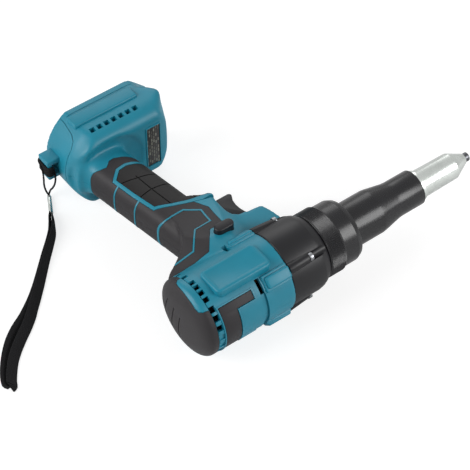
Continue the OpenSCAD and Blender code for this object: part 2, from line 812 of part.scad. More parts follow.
module rear_cap() {
    steps = 8;
    outside = concat([[0, 0]],
        [for (i = [0:steps]) let (a = 90 * i / steps)
            [cap_len * (1 - sin(a)), barrel_r - cap_round * (1 - cos(a))]],
        []);
    ordered = concat([[0, 0]], [for (i = [steps:-1:0]) outside[i + 1]],
        [[cap_len, shell_in_r], [vent_x0 - cut, shell_in_r], [vent_x0 - cut, shell_in_r - wall],
         [wall, shell_in_r - wall], [wall, 0]]);
    color(rubber_grey) place() {
        spin_x(ordered);
        difference() {
            tube_x(wall - cut, rear_bearing_x1, boss_r, bearing_r);
            rod_x(-cut, wall - cut, boss_r);
        }
        tube_x(wall - cut, rear_bearing_x0, boss_r, bearing_r - boss_wall);
    }
}

module left_grip() {
    color(rubber_grey) place() left_half() difference() {
        rubber_skin();
        front_pad_zone();
    }
}
module right_grip() {
    color(rubber_grey) place() right_half() difference() {
        rubber_skin();
        front_pad_zone();
    }
}
module grip_front_pad() {
    color(black) place() intersection() {
        rubber_skin();
        front_pad_zone();
    }
}
module barrel_top_band() {
    color(rubber_grey) place() intersection() {
        top_band_zone();
        rod_x(0, shell_x1, barrel_r);
    }
}

module battery_base() {
    color(teal) place() {
        difference() {
            union() {
                intersection() {
                    along_y(inset(foot_plan, wall), base_y0, drop);
                    along_z(inset(foot_side_line, wall), foot_half);
                }
                intersection() {
                    along_y(foot_plan, heel_y0, drop);
                    heel_zone();
                }
                difference() {
                    block(eye_x0, eye_root, eye_y0, eye_y1, -eye_half, eye_half);
                    block(eye_x0 + eye_post, eye_x0 + eye_post + eye_hole, eye_y0 - cut, eye_y1 + cut,
                        -eye_half + eye_arm, eye_half - eye_arm);
                }
                for (x = [board_x0 + post_inset, board_x0 + board_len - post_inset],
                     z = [-board_half + post_inset, board_half - post_inset])
                    translate([x, base_y0 - board_gap, z]) rotate([-90, 0, 0])
                        cylinder(h = board_gap + cut, r = post_r, $fn = round_fn);
            }
            difference() {
                block(channel_x0, foot_x1 + cut, base_y0 + base_t, drop + cut,
                    -channel_half, channel_half);
                for (side = [-1, 1]) block(channel_x0, foot_x1 + cut, rail_y, rail_y + rail_t,
                    side > 0 ? channel_half - rail_in : -channel_half - cut,
                    side > 0 ? channel_half + cut : -channel_half + rail_in);
            }
        }
    }
}
module terminal_block() {
    y0 = base_y0 + base_t;
    color(black) place() block(terminal_x0, terminal_x0 + terminal_len, y0, y0 + terminal_t,
        -terminal_half, terminal_half);
}
module terminal_blades() {
    y0 = base_y0 + base_t + terminal_t;
    x0 = terminal_x0 + (terminal_len - blade_len) / 2;
    color(copper) place() for (i = [0:blade_count - 1]) {
        z = (i - (blade_count - 1) / 2) * blade_pitch;
        block(x0, x0 + blade_len, y0, y0 + blade_deep, z - blade_thick / 2, z + blade_thick / 2);
    }
}
module rating_plate() {
    color(black) place() block(plate_slot_x, plate_slot_x + plate_slot_len, crown_y,
        crown_y + plate_slot_t, -plate_slot_half, plate_slot_half);
}
module control_board() {
    y1 = base_y0 - board_gap;
    y0 = y1 - board_t;
    color(board_green) place() {
        block(board_x0, board_x0 + board_len, y0, y1, -board_half, board_half);
        for (x = [board_x0 + board_len / 2, board_x0 + board_len - part_len - post_inset])
            block(x, x + part_len, y0 - part_high, y0 + board_t / 2, -part_half, part_half);
    }
}
module trigger_switch() {
    color(black) place() difference() {
        block(switch_x0, switch_x1, switch_y0, switch_y1, -switch_half, switch_half);
        translate([0, plunger_y, 0]) rod_x(switch_x1 - switch_bore, switch_x1 + cut, plunger_r + fit_gap);
    }
}

// Motor and gearbox
module lug_bores(x0, x1) {
    at_lugs() rod_x(x0, x1, lug_screw_r);
}
module gear_housing() {
    front_r = ring_r - cut;
    shoulder_shares = [[0.70, 1], [0.81, 0.84], [0.90, 0.5], [0.965, 0.14], [1, 0]];
    shoulder = [for (s = shoulder_shares)
        [shell_x1 + s[0] * (gear_x1 - shell_x1), front_r + s[1] * (gear_r - front_r)]];
    color(black) place() difference() {
        union() {
            spin_x(concat([[plate_x0, 0], [plate_x0, shell_in_r], [shell_x1, shell_in_r],
                [shell_x1 + joint_chamfer, gear_r]], shoulder,
                [[gear_x1, thread_r], [thread_x1, thread_r], [thread_x1, 0]]));
            at_lugs() rod_x(shell_x1, gear_lug_x1, lug_r);
        }
        rod_x(plate_x0 - cut, carrier_2_x0, ring_out_r);
        rod_x(carrier_2_x0 - cut, flange_x1 + run_gap, carrier_r + fit_gap);
        rod_x(flange_x1, thrust_x1, thrust_r);
        rod_x(thrust_x1 - cut, front_wall_x1 + cut, screw_r + cut);
        rod_x(front_wall_x1, thread_x1 + cut, nut_bore_r);
        nut_key(front_wall_x1, thread_x1 + cut, fit_gap);
        lug_bores(shell_x1 - cut, gear_lug_x1 + cut);
        at_lugs() rod_x(gear_lug_x1, gear_x1 + cut, lug_head_r + fit_gap);
    }
}
module nut_key(x0, x1, gap) {
    block(x0, x1, 0, nut_r + key_out + gap, -key_w / 2 - gap, key_w / 2 + gap);
}
module gearbox_plate() {
    color(steel) place() difference() {
        union() {
            rod_x(plate_x0, plate_x1, ring_out_r);
            rod_x(front_bearing_x0 - cut, plate_x1, boss_r);
        }
        rod_x(front_bearing_x0, plate_x0, bearing_r);
        rod_x(front_bearing_x0 - 2 * cut, plate_x1 + cut, bearing_r - boss_wall);
    }
}
module bearing(x0, x1, r_out, r_in) {
    color(steel) place() tube_x(x0, x1, r_out, r_in);
}
module rear_bearing() { bearing(rear_bearing_x0, rear_bearing_x1, bearing_r, bearing_bore_r + run_gap); }
module front_bearing() { bearing(front_bearing_x0, plate_x0, bearing_r, bearing_bore_r + run_gap); }
module thrust_bearing() { bearing(thrust_x0, thrust_x1, thrust_r, screw_r + run_gap); }

module slots(x0, x1) {
    for (i = [0:slot_count - 1]) rotate([360 * i / slot_count, 0, 0])
        block(x0, x1, slot_in_r, slot_out_r, -slot_w / 2, slot_w / 2);
}
module motor_stator() {
    color(steel) place() difference() {
        tube_x(stator_x0, stator_x1, stator_r, rotor_r + air_gap);
        slots(stator_x0 - cut, stator_x1 + cut);
    }
}
module motor_windings() {
    color(copper) place() slots(stator_x0 - coil_over, stator_x1 + coil_over);
}
module rotor_shaft() {
    color(steel) place() {
        rod_x(rear_bearing_x0, sun_1_x1, bearing_bore_r);
        rod_x(rear_bearing_x1 + run_gap, front_bearing_x0 - cut, shaft_r);
    }
}
module rotor_core() {
    color(steel) place() tube_x(stator_x0, stator_x1, rotor_r, shaft_r);
}
module cooling_fan() {
    color(black) place() difference() {
        union() {
            rod_x(fan_x0, fan_x1, fan_hub_r);
            rod_x(fan_x0, fan_x0 + blade_t, fan_r);
            for (i = [0:fan_blades - 1]) rotate([360 * i / fan_blades, 0, 0])
                block(fan_x0, fan_x1, fan_hub_r - cut, fan_r - blade_t, -blade_t / 2, blade_t / 2);
        }
        rod_x(fan_x0 - cut, fan_x1 + cut, shaft_r);
    }
}

// Involute gear outline with flat faces; side is 1 for teeth and -1 for the hole of a ring gear
function involute(a) = tan(a) - a * PI / 180;
function tooth_half(r, teeth, play) = let (rp = gear_module * teeth / 2, rb = rp * cos(pressure_angle),
    ra = max(r, rb))
    (PI / 2 - play / 2) / teeth * 180 / PI
    + (involute(pressure_angle) - involute(acos(min(1, rb / ra)))) * 180 / PI;
flank_shares = [0, 0.3, 0.65, 1];
function gear_outline(teeth, low, high, play, turn) = let (rp = gear_module * teeth / 2)
    [for (i = [0:teeth - 1], j = [0:7])
        let (k = j < 4 ? j : 7 - j,
             r = rp - low + flank_shares[k] * (low + high),
             a = 360 * i / teeth + turn + (j < 4 ? -1 : 1) * tooth_half(r, teeth, play))
        [r * cos(a), r * sin(a)]];
low_tooth = gear_module * dedendum_share;
high_tooth = gear_module * addendum_share;
module spur(teeth, x0, x1, turn, bore) {
    difference() {
        along_x(gear_outline(teeth, low_tooth, high_tooth, backlash_share, turn), x0, x1);
        if (bore > 0) rod_x(x0 - cut, x1 + cut, bore);
    }
}
module motor_pinion() {
    color(steel) place() spur(sun_teeth, sun_1_x0, sun_1_x1, 0, bearing_bore_r);
}
module ring_gear() {
    color(steel) place() difference() {
        rod_x(plate_x1, carrier_2_x0, ring_out_r);
        along_x(gear_outline(ring_teeth, high_tooth, low_tooth, -backlash_share, 180 / ring_teeth),
            plate_x1 - cut, carrier_2_x0 + cut);
    }
}
module planet(i, x0, x1) {
    color(steel) place() rotate([360 * i / planet_count, 0, 0]) translate([0, planet_orbit, 0])
        spur(planet_teeth, x0, x1, 180 / planet_teeth, pin_r + run_gap);
}
module carrier_pins(x0, x1) {
    for (i = [0:planet_count - 1]) rotate([360 * i / planet_count, 0, 0]) translate([0, planet_orbit, 0])
        rod_x(x0, x1, pin_r);
}
module first_carrier() {
    color(steel) place() {
        rod_x(carrier_1_x0, carrier_1_x1, carrier_r);
        carrier_pins(sun_1_x0, carrier_1_x0 + cut);
        spur(sun_teeth, carrier_1_x1 - cut, sun_2_x1, 0, 0);
    }
}
module second_carrier() {
    color(steel) place() difference() {
        union() {
            rod_x(carrier_2_x0, carrier_2_x1, carrier_r);
            carrier_pins(sun_2_x0, carrier_2_x0 + cut);
            rod_x(carrier_2_x1 - cut, flange_x1, flange_r);
        }
        rod_x(carrier_2_x0 - cut, flange_x1 + cut, journal_r);
    }
}
module first_planet_a() { planet(0, sun_1_x0, sun_1_x1); }
module first_planet_b() { planet(1, sun_1_x0, sun_1_x1); }
module first_planet_c() { planet(2, sun_1_x0, sun_1_x1); }
module second_planet_a() { planet(0, sun_2_x0, sun_2_x1); }
module second_planet_b() { planet(1, sun_2_x0, sun_2_x1); }
module second_planet_c() { planet(2, sun_2_x0, sun_2_x1); }
module lead_screw() {
    color(steel) place() {
        rod_x(carrier_2_x0, flange_x1 + cut, journal_r);
        rod_x(flange_x1, screw_x1, screw_r);
    }
}

// Pull train
module drive_nut() {
    color(steel) place() difference() {
        union() {
            rod_x(nut_x0, nut_x1, nut_r);
            nut_key(nut_x0, nut_x1, 0);
        }
        rod_x(nut_x0 - cut, nut_x1 + cut, screw_r + fit_gap);
    }
}
module pull_rod() {
    color(steel) place() difference() {
        rod_x(nut_x1, nose_x1, rod_r);
        rod_x(nut_x1 - cut, nose_x1 - rod_end, rod_r - rod_wall);
        rod_x(nut_x1, nose_x1 + cut, rod_bore_r);
    }
}
module jaw_case() {
    color(steel) place() difference() {
        rod_x(nose_x1, case_x1, case_r);
        spin_x([[nose_x1 - cut, 0], [nose_x1 - cut, case_in_r], [jaw_cone_x0, case_in_r],
            [case_x1 + cut, jaw_small_r - cut * jaw_slope], [case_x1 + cut, 0]]);
    }
}
module jaw(i) {
    r0 = case_in_r - jaw_back * jaw_slope - jaw_gap;
    r1 = jaw_small_r + jaw_front * jaw_slope - jaw_gap;
    far = 2 * case_r;
    step = jaw_split / 2 / sin(60);
    color(steel) place() rotate([360 * i / planet_count, 0, 0]) intersection() {
        difference() {
            spin_x([[jaw_x0, 0], [jaw_x0, r0], [jaw_x1, r1], [jaw_x1, 0]]);
            rod_x(jaw_x0 - cut, jaw_x1 + cut, mandrel_r);
        }
        along_x([[step, 0], [step + far * cos(60), far * sin(60)], [step + far, far],
            [step + far, -far], [step + far * cos(60), -far * sin(60)]], jaw_x0 - cut, jaw_x1 + cut);
    }
}
module jaw_a() { jaw(0); }
module jaw_b() { jaw(1); }
module jaw_c() { jaw(2); }
module jaw_pusher() {
    color(steel) place() tube_x(pusher_x0, pusher_x1, pusher_r, mandrel_r + fit_gap);
}

// Nose unit
module lock_ring() {
    front_share = 0.945;
    edge = 6;
    edge_share = 0.3;
    front_r = ring_r * front_share;
    knurl_x1 = gear_x1 + fit_gap + knurl_len;
    color(black) place() difference() {
        spin_x([[gear_x1 + fit_gap, 0], [gear_x1 + fit_gap, ring_r], [knurl_x1, ring_r], [knurl_x1, front_r],
            [ring_x1 - edge, front_r], [ring_x1 - edge * edge_share, front_r - edge * edge_share],
            [ring_x1, front_r - edge], [ring_x1, 0]]);
        rod_x(gear_x1, lip_x0, thread_r + fit_gap);
        rod_x(gear_x1, ring_x1 + cut, nose_r + fit_gap);
    }
}
module nose_housing() {
    taper_x0 = ring_x1 + nose_rear_len;
    taper_x1 = taper_x0 + nose_taper_len;
    color(black) place() difference() {
        spin_x([[thread_x1, 0], [thread_x1, thread_r], [flange_x1_nose, thread_r], [flange_x1_nose, nose_r],
            [taper_x0, nose_r], [taper_x1, nose_front_r], [nose_x1, nose_front_r], [nose_x1, 0]]);
        rod_x(thread_x1 - cut, screw_x1 + cut, nut_bore_r);
        nut_key(thread_x1 - cut, nut_x1 + cut, fit_gap);
        rod_x(screw_x1, nose_x1 + cut, nose_bore_r);
    }
}
module nozzle_sleeve() {
    collar = 4;
    collar_in = 1.2;
    front_share = 0.955;
    color(zinc) place() difference() {
        spin_x([[nose_x1, 0], [nose_x1, sleeve_r + collar_in], [nose_x1 + collar, sleeve_r + collar_in],
            [nose_x1 + collar, sleeve_r], [cone_x0, sleeve_r * front_share], [cone_x1, cone_r],
            [cone_x1, 0]]);
        rod_x(nose_x1 - cut, sleeve_cavity_x1, sleeve_bore_r);
        rod_x(cone_x0, cone_x1 + cut, tip_shank_r + run_gap);
    }
}
module nosepiece() {
    color(steel) place() difference() {
        union() {
            rod_x(tip_x0, cone_x1 + cut, tip_shank_r);
            rod_x(cone_x1, tool_len, tip_r);
        }
        rod_x(tip_x0 - cut, tool_len + cut, mandrel_r);
    }
}

// Controls
module trigger() {
    color(black) place() {
        along_z(trigger_side, trigger_width / 2);
        translate([0, plunger_y, 0]) rod_x(trigger_back - plunger_len, trigger_back + cut, plunger_r);
    }
}
module direction_button() {
    color(black) place() button_bar(0, -button_side + button_half_in, button_side + button_proud);
}

// Fasteners
module housing_screws() {
    color(steel) place() for (s = screw_places) {
        pin_z(s[0], s[1], -screw_seat - screw_head_len, -screw_seat, screw_head_r);
        pin_z(s[0], s[1], -screw_seat - cut, screw_reach, screw_shank_r);
    }
}
module gear_housing_screws() {
    color(steel) place() at_lugs() {
        rod_x(gear_lug_x1, gear_lug_x1 + lug_head_len, lug_head_r);
        rod_x(gear_lug_x1 - lug_screw_len, gear_lug_x1 + cut, lug_screw_r);
    }
}

// Leads
module battery_leads() {
    color(black) place() intersection() {
        for (z = [-lead_side, lead_side]) grip_axes() translate([lead_out, -drop, z]) rotate([-90, 0, 0])
            cylinder(h = 2 * drop, r = lead_r, $fn = round_fn);
        block(0, tool_len, switch_y1, base_y0 - board_gap - board_t, -foot_half, foot_half);
    }
}
module motor_leads() {
    color(copper) place() difference() {
        motor_lead_line(lead_r);
        rod_x(0, tool_len, stator_r);
    }
}

// Tubes swept along a route
function cross_unit(a, b) = unit(cross(a, b));
function tangent(p, i) = unit(i == 0 ? p[1] - p[0] : i == len(p) - 1 ? p[i] - p[i - 1]
    : unit(p[i] - p[i - 1]) + unit(p[i + 1] - p[i]));
module swept(rings) {
    n = len(rings[0]);
    m = len(rings);
    polyhedron([for (r = rings) each r], concat(
        [[for (j = [0:n - 1]) j]],
        [[for (j = [n - 1:-1:0]) (m - 1) * n + j]],
        [for (i = [0:m - 2], j = [0:n - 1], t = [0, 1])
            let (a = i * n + j, b = i * n + (j + 1) % n, c = a + n, d = b + n)
            t == 0 ? [a, c, d] : [a, d, b]]));
}
// A side direction carried along a route without twisting
function carried(p, ref) = [for (i = 0, u = cross_unit(tangent(p, 0), ref); i < len(p);
    u = i + 1 < len(p) ? unit(u - (u * tangent(p, i + 1)) * tangent(p, i + 1)) : u, i = i + 1) u];
function round_rings(p, r, sides, ref) = let (sideways = carried(p, ref)) [for (i = [0:len(p) - 1])
    let (t = tangent(p, i), u = sideways[i], v = cross(t, u))
    [for (k = [0:sides - 1]) let (a = 360 * k / sides) p[i] + r * (cos(a) * u + sin(a) * v)]];
function flat_rings(p, half_t, half_w) = [for (i = [0:len(p) - 1])
    let (t = tangent(p, i), u = cross_unit([0, 0, 1], [t[0], t[1], 0]), w = half_w[i])
    [p[i] - half_t * u + [0, 0, w], p[i] - half_t * u - [0, 0, w],
     p[i] + half_t * u - [0, 0, w], p[i] + half_t * u + [0, 0, w]]];
function coil_path(x0, x1, r, curls) = [for (i = [0:curls * curl_rings])
    let (a = 360 * i / curl_rings)
    [x0 + (x1 - x0) * i / (curls * curl_rings), r * cos(a), r * sin(a)]];
module coil(x0, x1, r, wire, curls) {
    swept(round_rings(coil_path(x0 + wire, x1 - wire, r, curls), wire, wire_sides, [1, 0, 0]));
}
module trigger_spring() {
    color(steel) place() translate([0, plunger_y, 0])
        coil(switch_x1, trigger_back, trigger_spring_r, trigger_wire_r, trigger_curls);
}
module jaw_spring() {
    color(steel) place() coil(nose_x1, pusher_x0, jaw_spring_r, jaw_wire_r, jaw_curls);
}

// Wrist strap
crimp_dir = unit(crimp_to - crimp_from);
crimp_side = cross([0, 0, 1], crimp_dir);
crimp_stub = 1.5;
module strap_cord() {
    ends = [for (s = [-1, 1], d = [0, crimp_stub]) crimp_from + s * cord_side * crimp_side - d * crimp_dir];
    loop = [for (p = cord_route) [eye_x0 + p[0], eye_y0 + p[1], p[2] * foot_half]];
    route = concat([ends[2], ends[3]], loop, [ends[1], ends[0]]);
    color(black) place() swept(round_rings(route, cord_r, 8, [0, 0, 1]));
}
module strap_crimp() {
    turn = atan2(crimp_dir[1], crimp_dir[0]);
    color(zinc) place() translate(crimp_from) rotate([0, 0, turn])
        rod_x(0, norm(crimp_to - crimp_from), crimp_r);
}
module strap_webbing() {
    lift = floor_z + band_w / 2;
    gap = 0.9;
    from = [for (s = [-1, 1], d = [0, crimp_stub]) crimp_to + s * gap * crimp_side + d * crimp_dir];
    raised = [for (p = concat(left_route, right_route)) [eye_x0 + p[0], eye_y0 + p[1], lift]];
    route = concat([from[0], from[1]], raised, [from[3], from[2]]);
    n = len(route);
    widths = [for (i = [0:n - 1]) let (e = min(i, n - 1 - i))
        e < 2 ? web_end : min(band_w / 2, web_end + (e - 1) * (band_w / 2) / band_taper)];
    lifts = [for (i = [0:n - 1]) max(floor_z + widths[i], i < 2 || i > n - 3 ? crimp_z : floor_z)];
    color(black) place() swept(flat_rings([for (i = [0:n - 1]) [route[i][0], route[i][1], lifts[i]]],
        band_t / 2, widths));
}

left_housing();
right_housing();
rear_cap();
left_grip();
right_grip();
grip_front_pad();
barrel_top_band();
battery_base();
terminal_block();
terminal_blades();
rating_plate();
control_board();
trigger_switch();
gear_housing();
ring_gear();
gearbox_plate();
motor_stator();
motor_windings();
rear_bearing();
front_bearing();
thrust_bearing();
housing_screws();
gear_housing_screws();
battery_leads();
motor_leads();
strap_cord();
strap_crimp();
strap_webbing();
trigger();
trigger_spring();
direction_button();
nose_housing();
nozzle_sleeve();
lock_ring();
nosepiece();
rotor_shaft();
rotor_core();
cooling_fan();
motor_pinion();
first_carrier();
first_planet_a();
first_planet_b();
first_planet_c();
second_carrier();
lead_screw();
second_planet_a();
second_planet_b();
second_planet_c();
drive_nut();
pull_rod();
jaw_case();
jaw_a();
jaw_b();
jaw_c();
jaw_pusher();
jaw_spring();
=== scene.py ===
"""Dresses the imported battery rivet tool: rounded shells, rubber grip, metal nose, strap, finishes and stage.

Sizes are in millimetres in the tool's own axes until a piece is finished: X along the barrel to the nose,
Y from the barrel to the foot, Z to the left side. The rear cap's back is x 0; the barrel axis is y 0, z 0.
"""
import json
import math

import bmesh
import bpy
from mathutils import Matrix, Vector


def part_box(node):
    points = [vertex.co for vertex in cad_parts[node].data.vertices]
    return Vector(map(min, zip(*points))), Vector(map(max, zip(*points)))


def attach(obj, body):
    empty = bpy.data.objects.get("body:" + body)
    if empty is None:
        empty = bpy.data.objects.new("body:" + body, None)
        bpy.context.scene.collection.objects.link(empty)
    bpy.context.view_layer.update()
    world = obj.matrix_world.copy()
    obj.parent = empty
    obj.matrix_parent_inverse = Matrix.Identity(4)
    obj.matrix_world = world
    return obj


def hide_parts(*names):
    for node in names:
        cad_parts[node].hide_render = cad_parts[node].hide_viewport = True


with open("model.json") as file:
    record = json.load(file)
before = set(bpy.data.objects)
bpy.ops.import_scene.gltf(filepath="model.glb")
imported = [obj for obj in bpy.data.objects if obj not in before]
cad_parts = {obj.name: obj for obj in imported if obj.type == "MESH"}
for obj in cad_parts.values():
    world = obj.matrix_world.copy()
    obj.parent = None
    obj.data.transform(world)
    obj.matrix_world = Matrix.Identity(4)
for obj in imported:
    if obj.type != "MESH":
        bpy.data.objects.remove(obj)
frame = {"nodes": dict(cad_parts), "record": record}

bl_info = {
    "name": "Battery rivet tool",
    "version": (1, 0, 0),
    "blender": (4, 5, 0),
    "location": "View3D > Sidebar > Rivet tool",
    "description": "Builds the visible pieces of a battery rivet tool over its CAD parts",
    "category": "Object",
}

# The tool's axes in the row frame, read from the rear cap, which is turned round the barrel axis
CAP_LOW, CAP_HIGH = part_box("rear_cap")
ORIGIN = Vector((CAP_LOW.x, (CAP_LOW.y + CAP_HIGH.y) / 2, (CAP_LOW.z + CAP_HIGH.z) / 2))
TO_ROW = Matrix.Translation(ORIGIN) @ Matrix.Scale(0.001, 4)
FLOOR = -ORIGIN.z * 1000
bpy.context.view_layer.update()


def span(node):
    """Where a CAD node starts and ends along the barrel."""
    return [(corner.x - ORIGIN.x) * 1000 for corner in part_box(node)]


# Stations along the barrel
SHELL_REAR = 8.4
SHELL_FRONT = 81.0
RING_REAR, RING_FRONT = span("lock_ring")
RING_GAP = 0.4
GEAR_FRONT = RING_REAR - RING_GAP
THREAD_FRONT, NOSE_FRONT = span("nose_housing")
CONE_FRONT = span("nozzle_sleeve")[1]
CONE_LENGTH = 14
CONE_REAR = CONE_FRONT - CONE_LENGTH
TIP_REAR, TOOL_FRONT = span("nosepiece")

# Radius of the barrel, distance of the long screws from its axis, and how far cutters reach to the sides
BARREL_R = 32.5
LUG_ORBIT = 31.5
FAR = 60.0

# Side view of the neck, from the barrel to the grip
NECK_SIDE = [(7.5, 7.8), (60, 7.8), (113.2, 7.8), (115, 33), (111, 48), (108, 49.5), (91, 50.4),
             (84.5, 54), (82.5, 60), (82.5, 69.8), (84, 76.4), (85.7, 77.6), (84.4, 81), (77.3, 82.5),
             (67.5, 88.3), (45, 90.2), (43.5, 75.7), (41.3, 64), (36.8, 52.4), (30, 45.1), (21, 40.3),
             (12, 35.9), (7.5, 29)]
# Half width of the neck on the way down, as (y, half width)
NECK_FRONT = [(7.8, 27), (30, 27), (44.6, 24), (60, 20), (74.7, 18), (95, 17.2)]
# Half width of the neck along the barrel, as (x, half width)
NECK_PLAN = [(7.5, 7.2), (13.5, 10.4), (21, 13.7), (28.5, 17.6), (37.5, 22.1), (47.3, 25.4), (66, 26),
             (75.8, 21.1), (87, 15.3), (115, 12)]
# The grip's half sizes, its middle and how far it leans
GRIP_HALF = (19.5, 18)
GRIP_AT = (50.78, 97.0)
GRIP_RAKE = math.radians(9)
# Where the grip widens into the foot, as (margin, start along the grip)
GRIP_FLARE = [(0.7, 65.5), (1.8, 68.3), (3.2, 70.2), (4.8, 71.4)]

# The foot seen from the side, and its front corner from above as (x, z)
FOOT_REAR = 12.5
FOOT_FRONT = 112.5
FOOT_TOP = 175.0
FOOT_UNDER = 206.0
FOOT_HALF = 36.0
FOOT_CORNER = [(88, 36), (93.5, 34.9), (97.5, 31.6), (109.5, 19), (112, 14.5), (112.5, 10)]
# The foot's crown: front corner low down and at its rim, side view, and half width from the front
CROWN_TOP = 162.5
CROWN_CORNER = [(103.5, 36.4), (106, 35.8), (107, 33.5), (107, 27), (107, 14), (107, 3)]
CROWN_RIM = [(82, 34), (89, 32.4), (94, 29), (98, 23.5), (101.5, 13), (103.5, 3)]
CROWN_SIDE = [(14.5, 175), (18, 168.1), (23.5, 164), (30.5, 162.5), (94, 162.5), (102, 165), (105.7, 170.6),
              (107, 177), (107.6, 184), (110.4, 198), (12.5, 198)]
CROWN_FRONT = [(198, 36), (176, 36), (171, 35.3), (167, 33.6), (164.2, 31), (162.5, 27.5)]
# The bowl in the crown round the root of the grip: its middle along X and its half sizes
BOWL_X = 46.5
BOWL_HALF = (31.5, 5.2, 31.0)
# The rear of the foot that belongs to the battery base
HEEL = [(-20, 178), (19, 178), (23, 180.5), (25.3, 186), (27, 199), (27, 230), (-20, 230)]

# Where the rubber lies, seen from the side
RUBBER = [(7, 34), (18, 31), (30, 27.5), (43.2, 26.5), (57.4, 44.6), (69.4, 43.6), (73, 67.5), (67, 80.6),
          (72, 90), (72, 130), (60, 146.5), (52.5, 151.6), (43.6, 155), (39.2, 154.5), (36.6, 151.9),
          (33.7, 150), (28.5, 151.9), (24.1, 155.1), (21, 156.2), (12, 156.6), (2, 120), (2, 60)]
# The teal frame round the black front panel of the grip, outer and inner edge
FRAME_OUT = [(53, 143.6), (47, 145), (38.6, 144), (29.8, 136), (33.4, 113.5), (38, 92), (51.5, 85.6),
             (66, 80.3), (96, 70), (96, 128)]
FRAME_IN = [(56, 140.2), (47.6, 142.6), (40, 141.7), (32.4, 134.9), (36, 113.8), (40.2, 93.8), (52.2, 88),
            (66, 83.4), (96, 77), (96, 126)]
# Thin teal lines laid into the rubber: the loop on the neck and two lines across the grip
INLAY_LINES = [[(20, 39), (24, 38), (35.4, 35.8), (49, 52.4), (64, 52.8), (66.5, 68.5), (55.8, 77.2),
                (43.3, 77.2), (37, 78.6), (32, 81.5), (26, 86)],
               [(34, 129.9), (20, 128.8)], [(38, 107.4), (20, 105.4)]]
# Grooves in the black front panel
PANEL_GROOVES = [[(61, 146), (64, 115), (72, 82)], [(30, 130.5), (46, 126.5), (64, 122.5)],
                 [(47, 129), (49, 110), (66, 108)], [(36, 108.5), (49, 110), (52.5, 86)]]
# The shells' tongues over the rear cap, seen from the side
TONGUE = [(14, 15.5), (5.5, 14.6), (3.2, 12.6), (2.3, 9), (1.4, -3), (1.1, -13), (1.7, -16.6), (4, -19),
          (14, -20.5)]
# Short grooves in the rear cap, as (y, z)
CAP_ARCS = [[(17.3, 10.4), (20.4, -0.6), (22.0, -12.8)], [(8.1, 8.9), (11.1, -4.7), (12.7, -17.1)],
            [(0.5, 4.6), (3.1, -10.1), (2.8, -22.0)]]
# Vents round the rear of the barrel, as (angle from the left side to the top, width)
VENTS = [(-42, 3.4), (-25, 3.4), (-7, 4), (3, 4), (13, 4), (24, 4), (39, 5), (52, 5.2), (67, 5.2)]
# Housing screws on the right side, as (x, y)
SCREWS = [(44.0, 44.0), (103.0, 41.5), (46.3, 116.0), (41.2, 148.0), (28.0, 173.0), (103.0, 178.5)]
# The trigger's side view and the height of its plunger
TRIGGER_SIDE = [(79, 51.4), (98.5, 51.4), (99.8, 51.9), (98.5, 54.5), (97.4, 59), (97.1, 64.2), (97.9, 69.3),
                (99.8, 72.8), (100.5, 74.6), (99.6, 76.2), (97.9, 76.9), (79, 76.9)]
PLUNGER_Y = 66.7
# The direction button: its middle, its radius and half the distance between its round ends
BUTTON_AT = (65.5, 37.4)
BUTTON_R = 4.2
BUTTON_RUN = 4.3

# The strap's cord, band and crimp, and the routes that they follow
CORD_WIDE = 1.6
BAND_WIDE = 9.5
BAND_EDGE = 0.6
CRIMP_R = 1.8
CRIMP_FROM = Vector((4, 194, FLOOR + CRIMP_R))
CRIMP_TO = Vector((-5, 177.5, FLOOR + CRIMP_R))
CORD_ROUTE = [(3.6, 196.5, -32), (2.6, 197, -27), (1.3, 195.5, -20), (0.7, 194, -12), (0.6, 194, -4),
              (0.7, 196, 1), (1, 199.5, 3.5), (2.6, 201.7, 4), (5.2, 201.8, 3.5), (7.2, 200.6, 2.8),
              (7.9, 196, 1.6), (8, 192, -0.2), (7.9, 188.5, -2.4), (7.4, 186.4, -6), (6.8, 186, -11),
              (6.4, 187.5, -17), (6.2, 191, -24), (6, 194.5, -29.5)]
LEFT_ROUTE = [(-9, 173), (-13.2, 165.7), (-18, 157.8), (-25.6, 149.4), (-34.4, 140.8), (-43.8, 131.2),
              (-53.4, 121.6), (-63.2, 112.5), (-72.4, 105.2), (-82.6, 98.2), (-93.2, 92.2), (-103, 85),
              (-112.1, 75.8), (-119.8, 66.1), (-125.3, 57.5)]
RIGHT_ROUTE = [(-128, 51), (-126.8, 48.4), (-124.5, 49.2), (-122.2, 53.7), (-117.2, 60.9), (-110.9, 68.7),
               (-103.4, 75.8), (-94.7, 82.8), (-85.6, 89.5), (-77, 96.7), (-70.8, 103), (-62.5, 111),
               (-53, 120.3), (-43.5, 130), (-34, 139.5), (-25, 148), (-16.5, 156.5), (-11, 164.5),
               (-6.8, 172)]

# The camera as fitted to the photograph: lens in mm on a 36 mm sensor, place in metres, and its axes
LENS = 152.6
CAMERA_AT = (-0.672, -0.858, 1.207)
CAMERA_RIGHT = (0.7997, -0.6004, 0)
CAMERA_UP = (0.4525, 0.6027, 0.6574)
CAMERA_BACK = (-0.3947, -0.5257, 0.7536)
# Square lamps: name, place and size in metres, power in watts
LAMPS = [("key", (-1.2, 0.3, 0.76), 0.9, 15.5), ("back", (0.55, 1.1, 0.85), 0.8, 4),
         ("front", (0.6, -0.95, 0.62), 0.66, 9.5)]


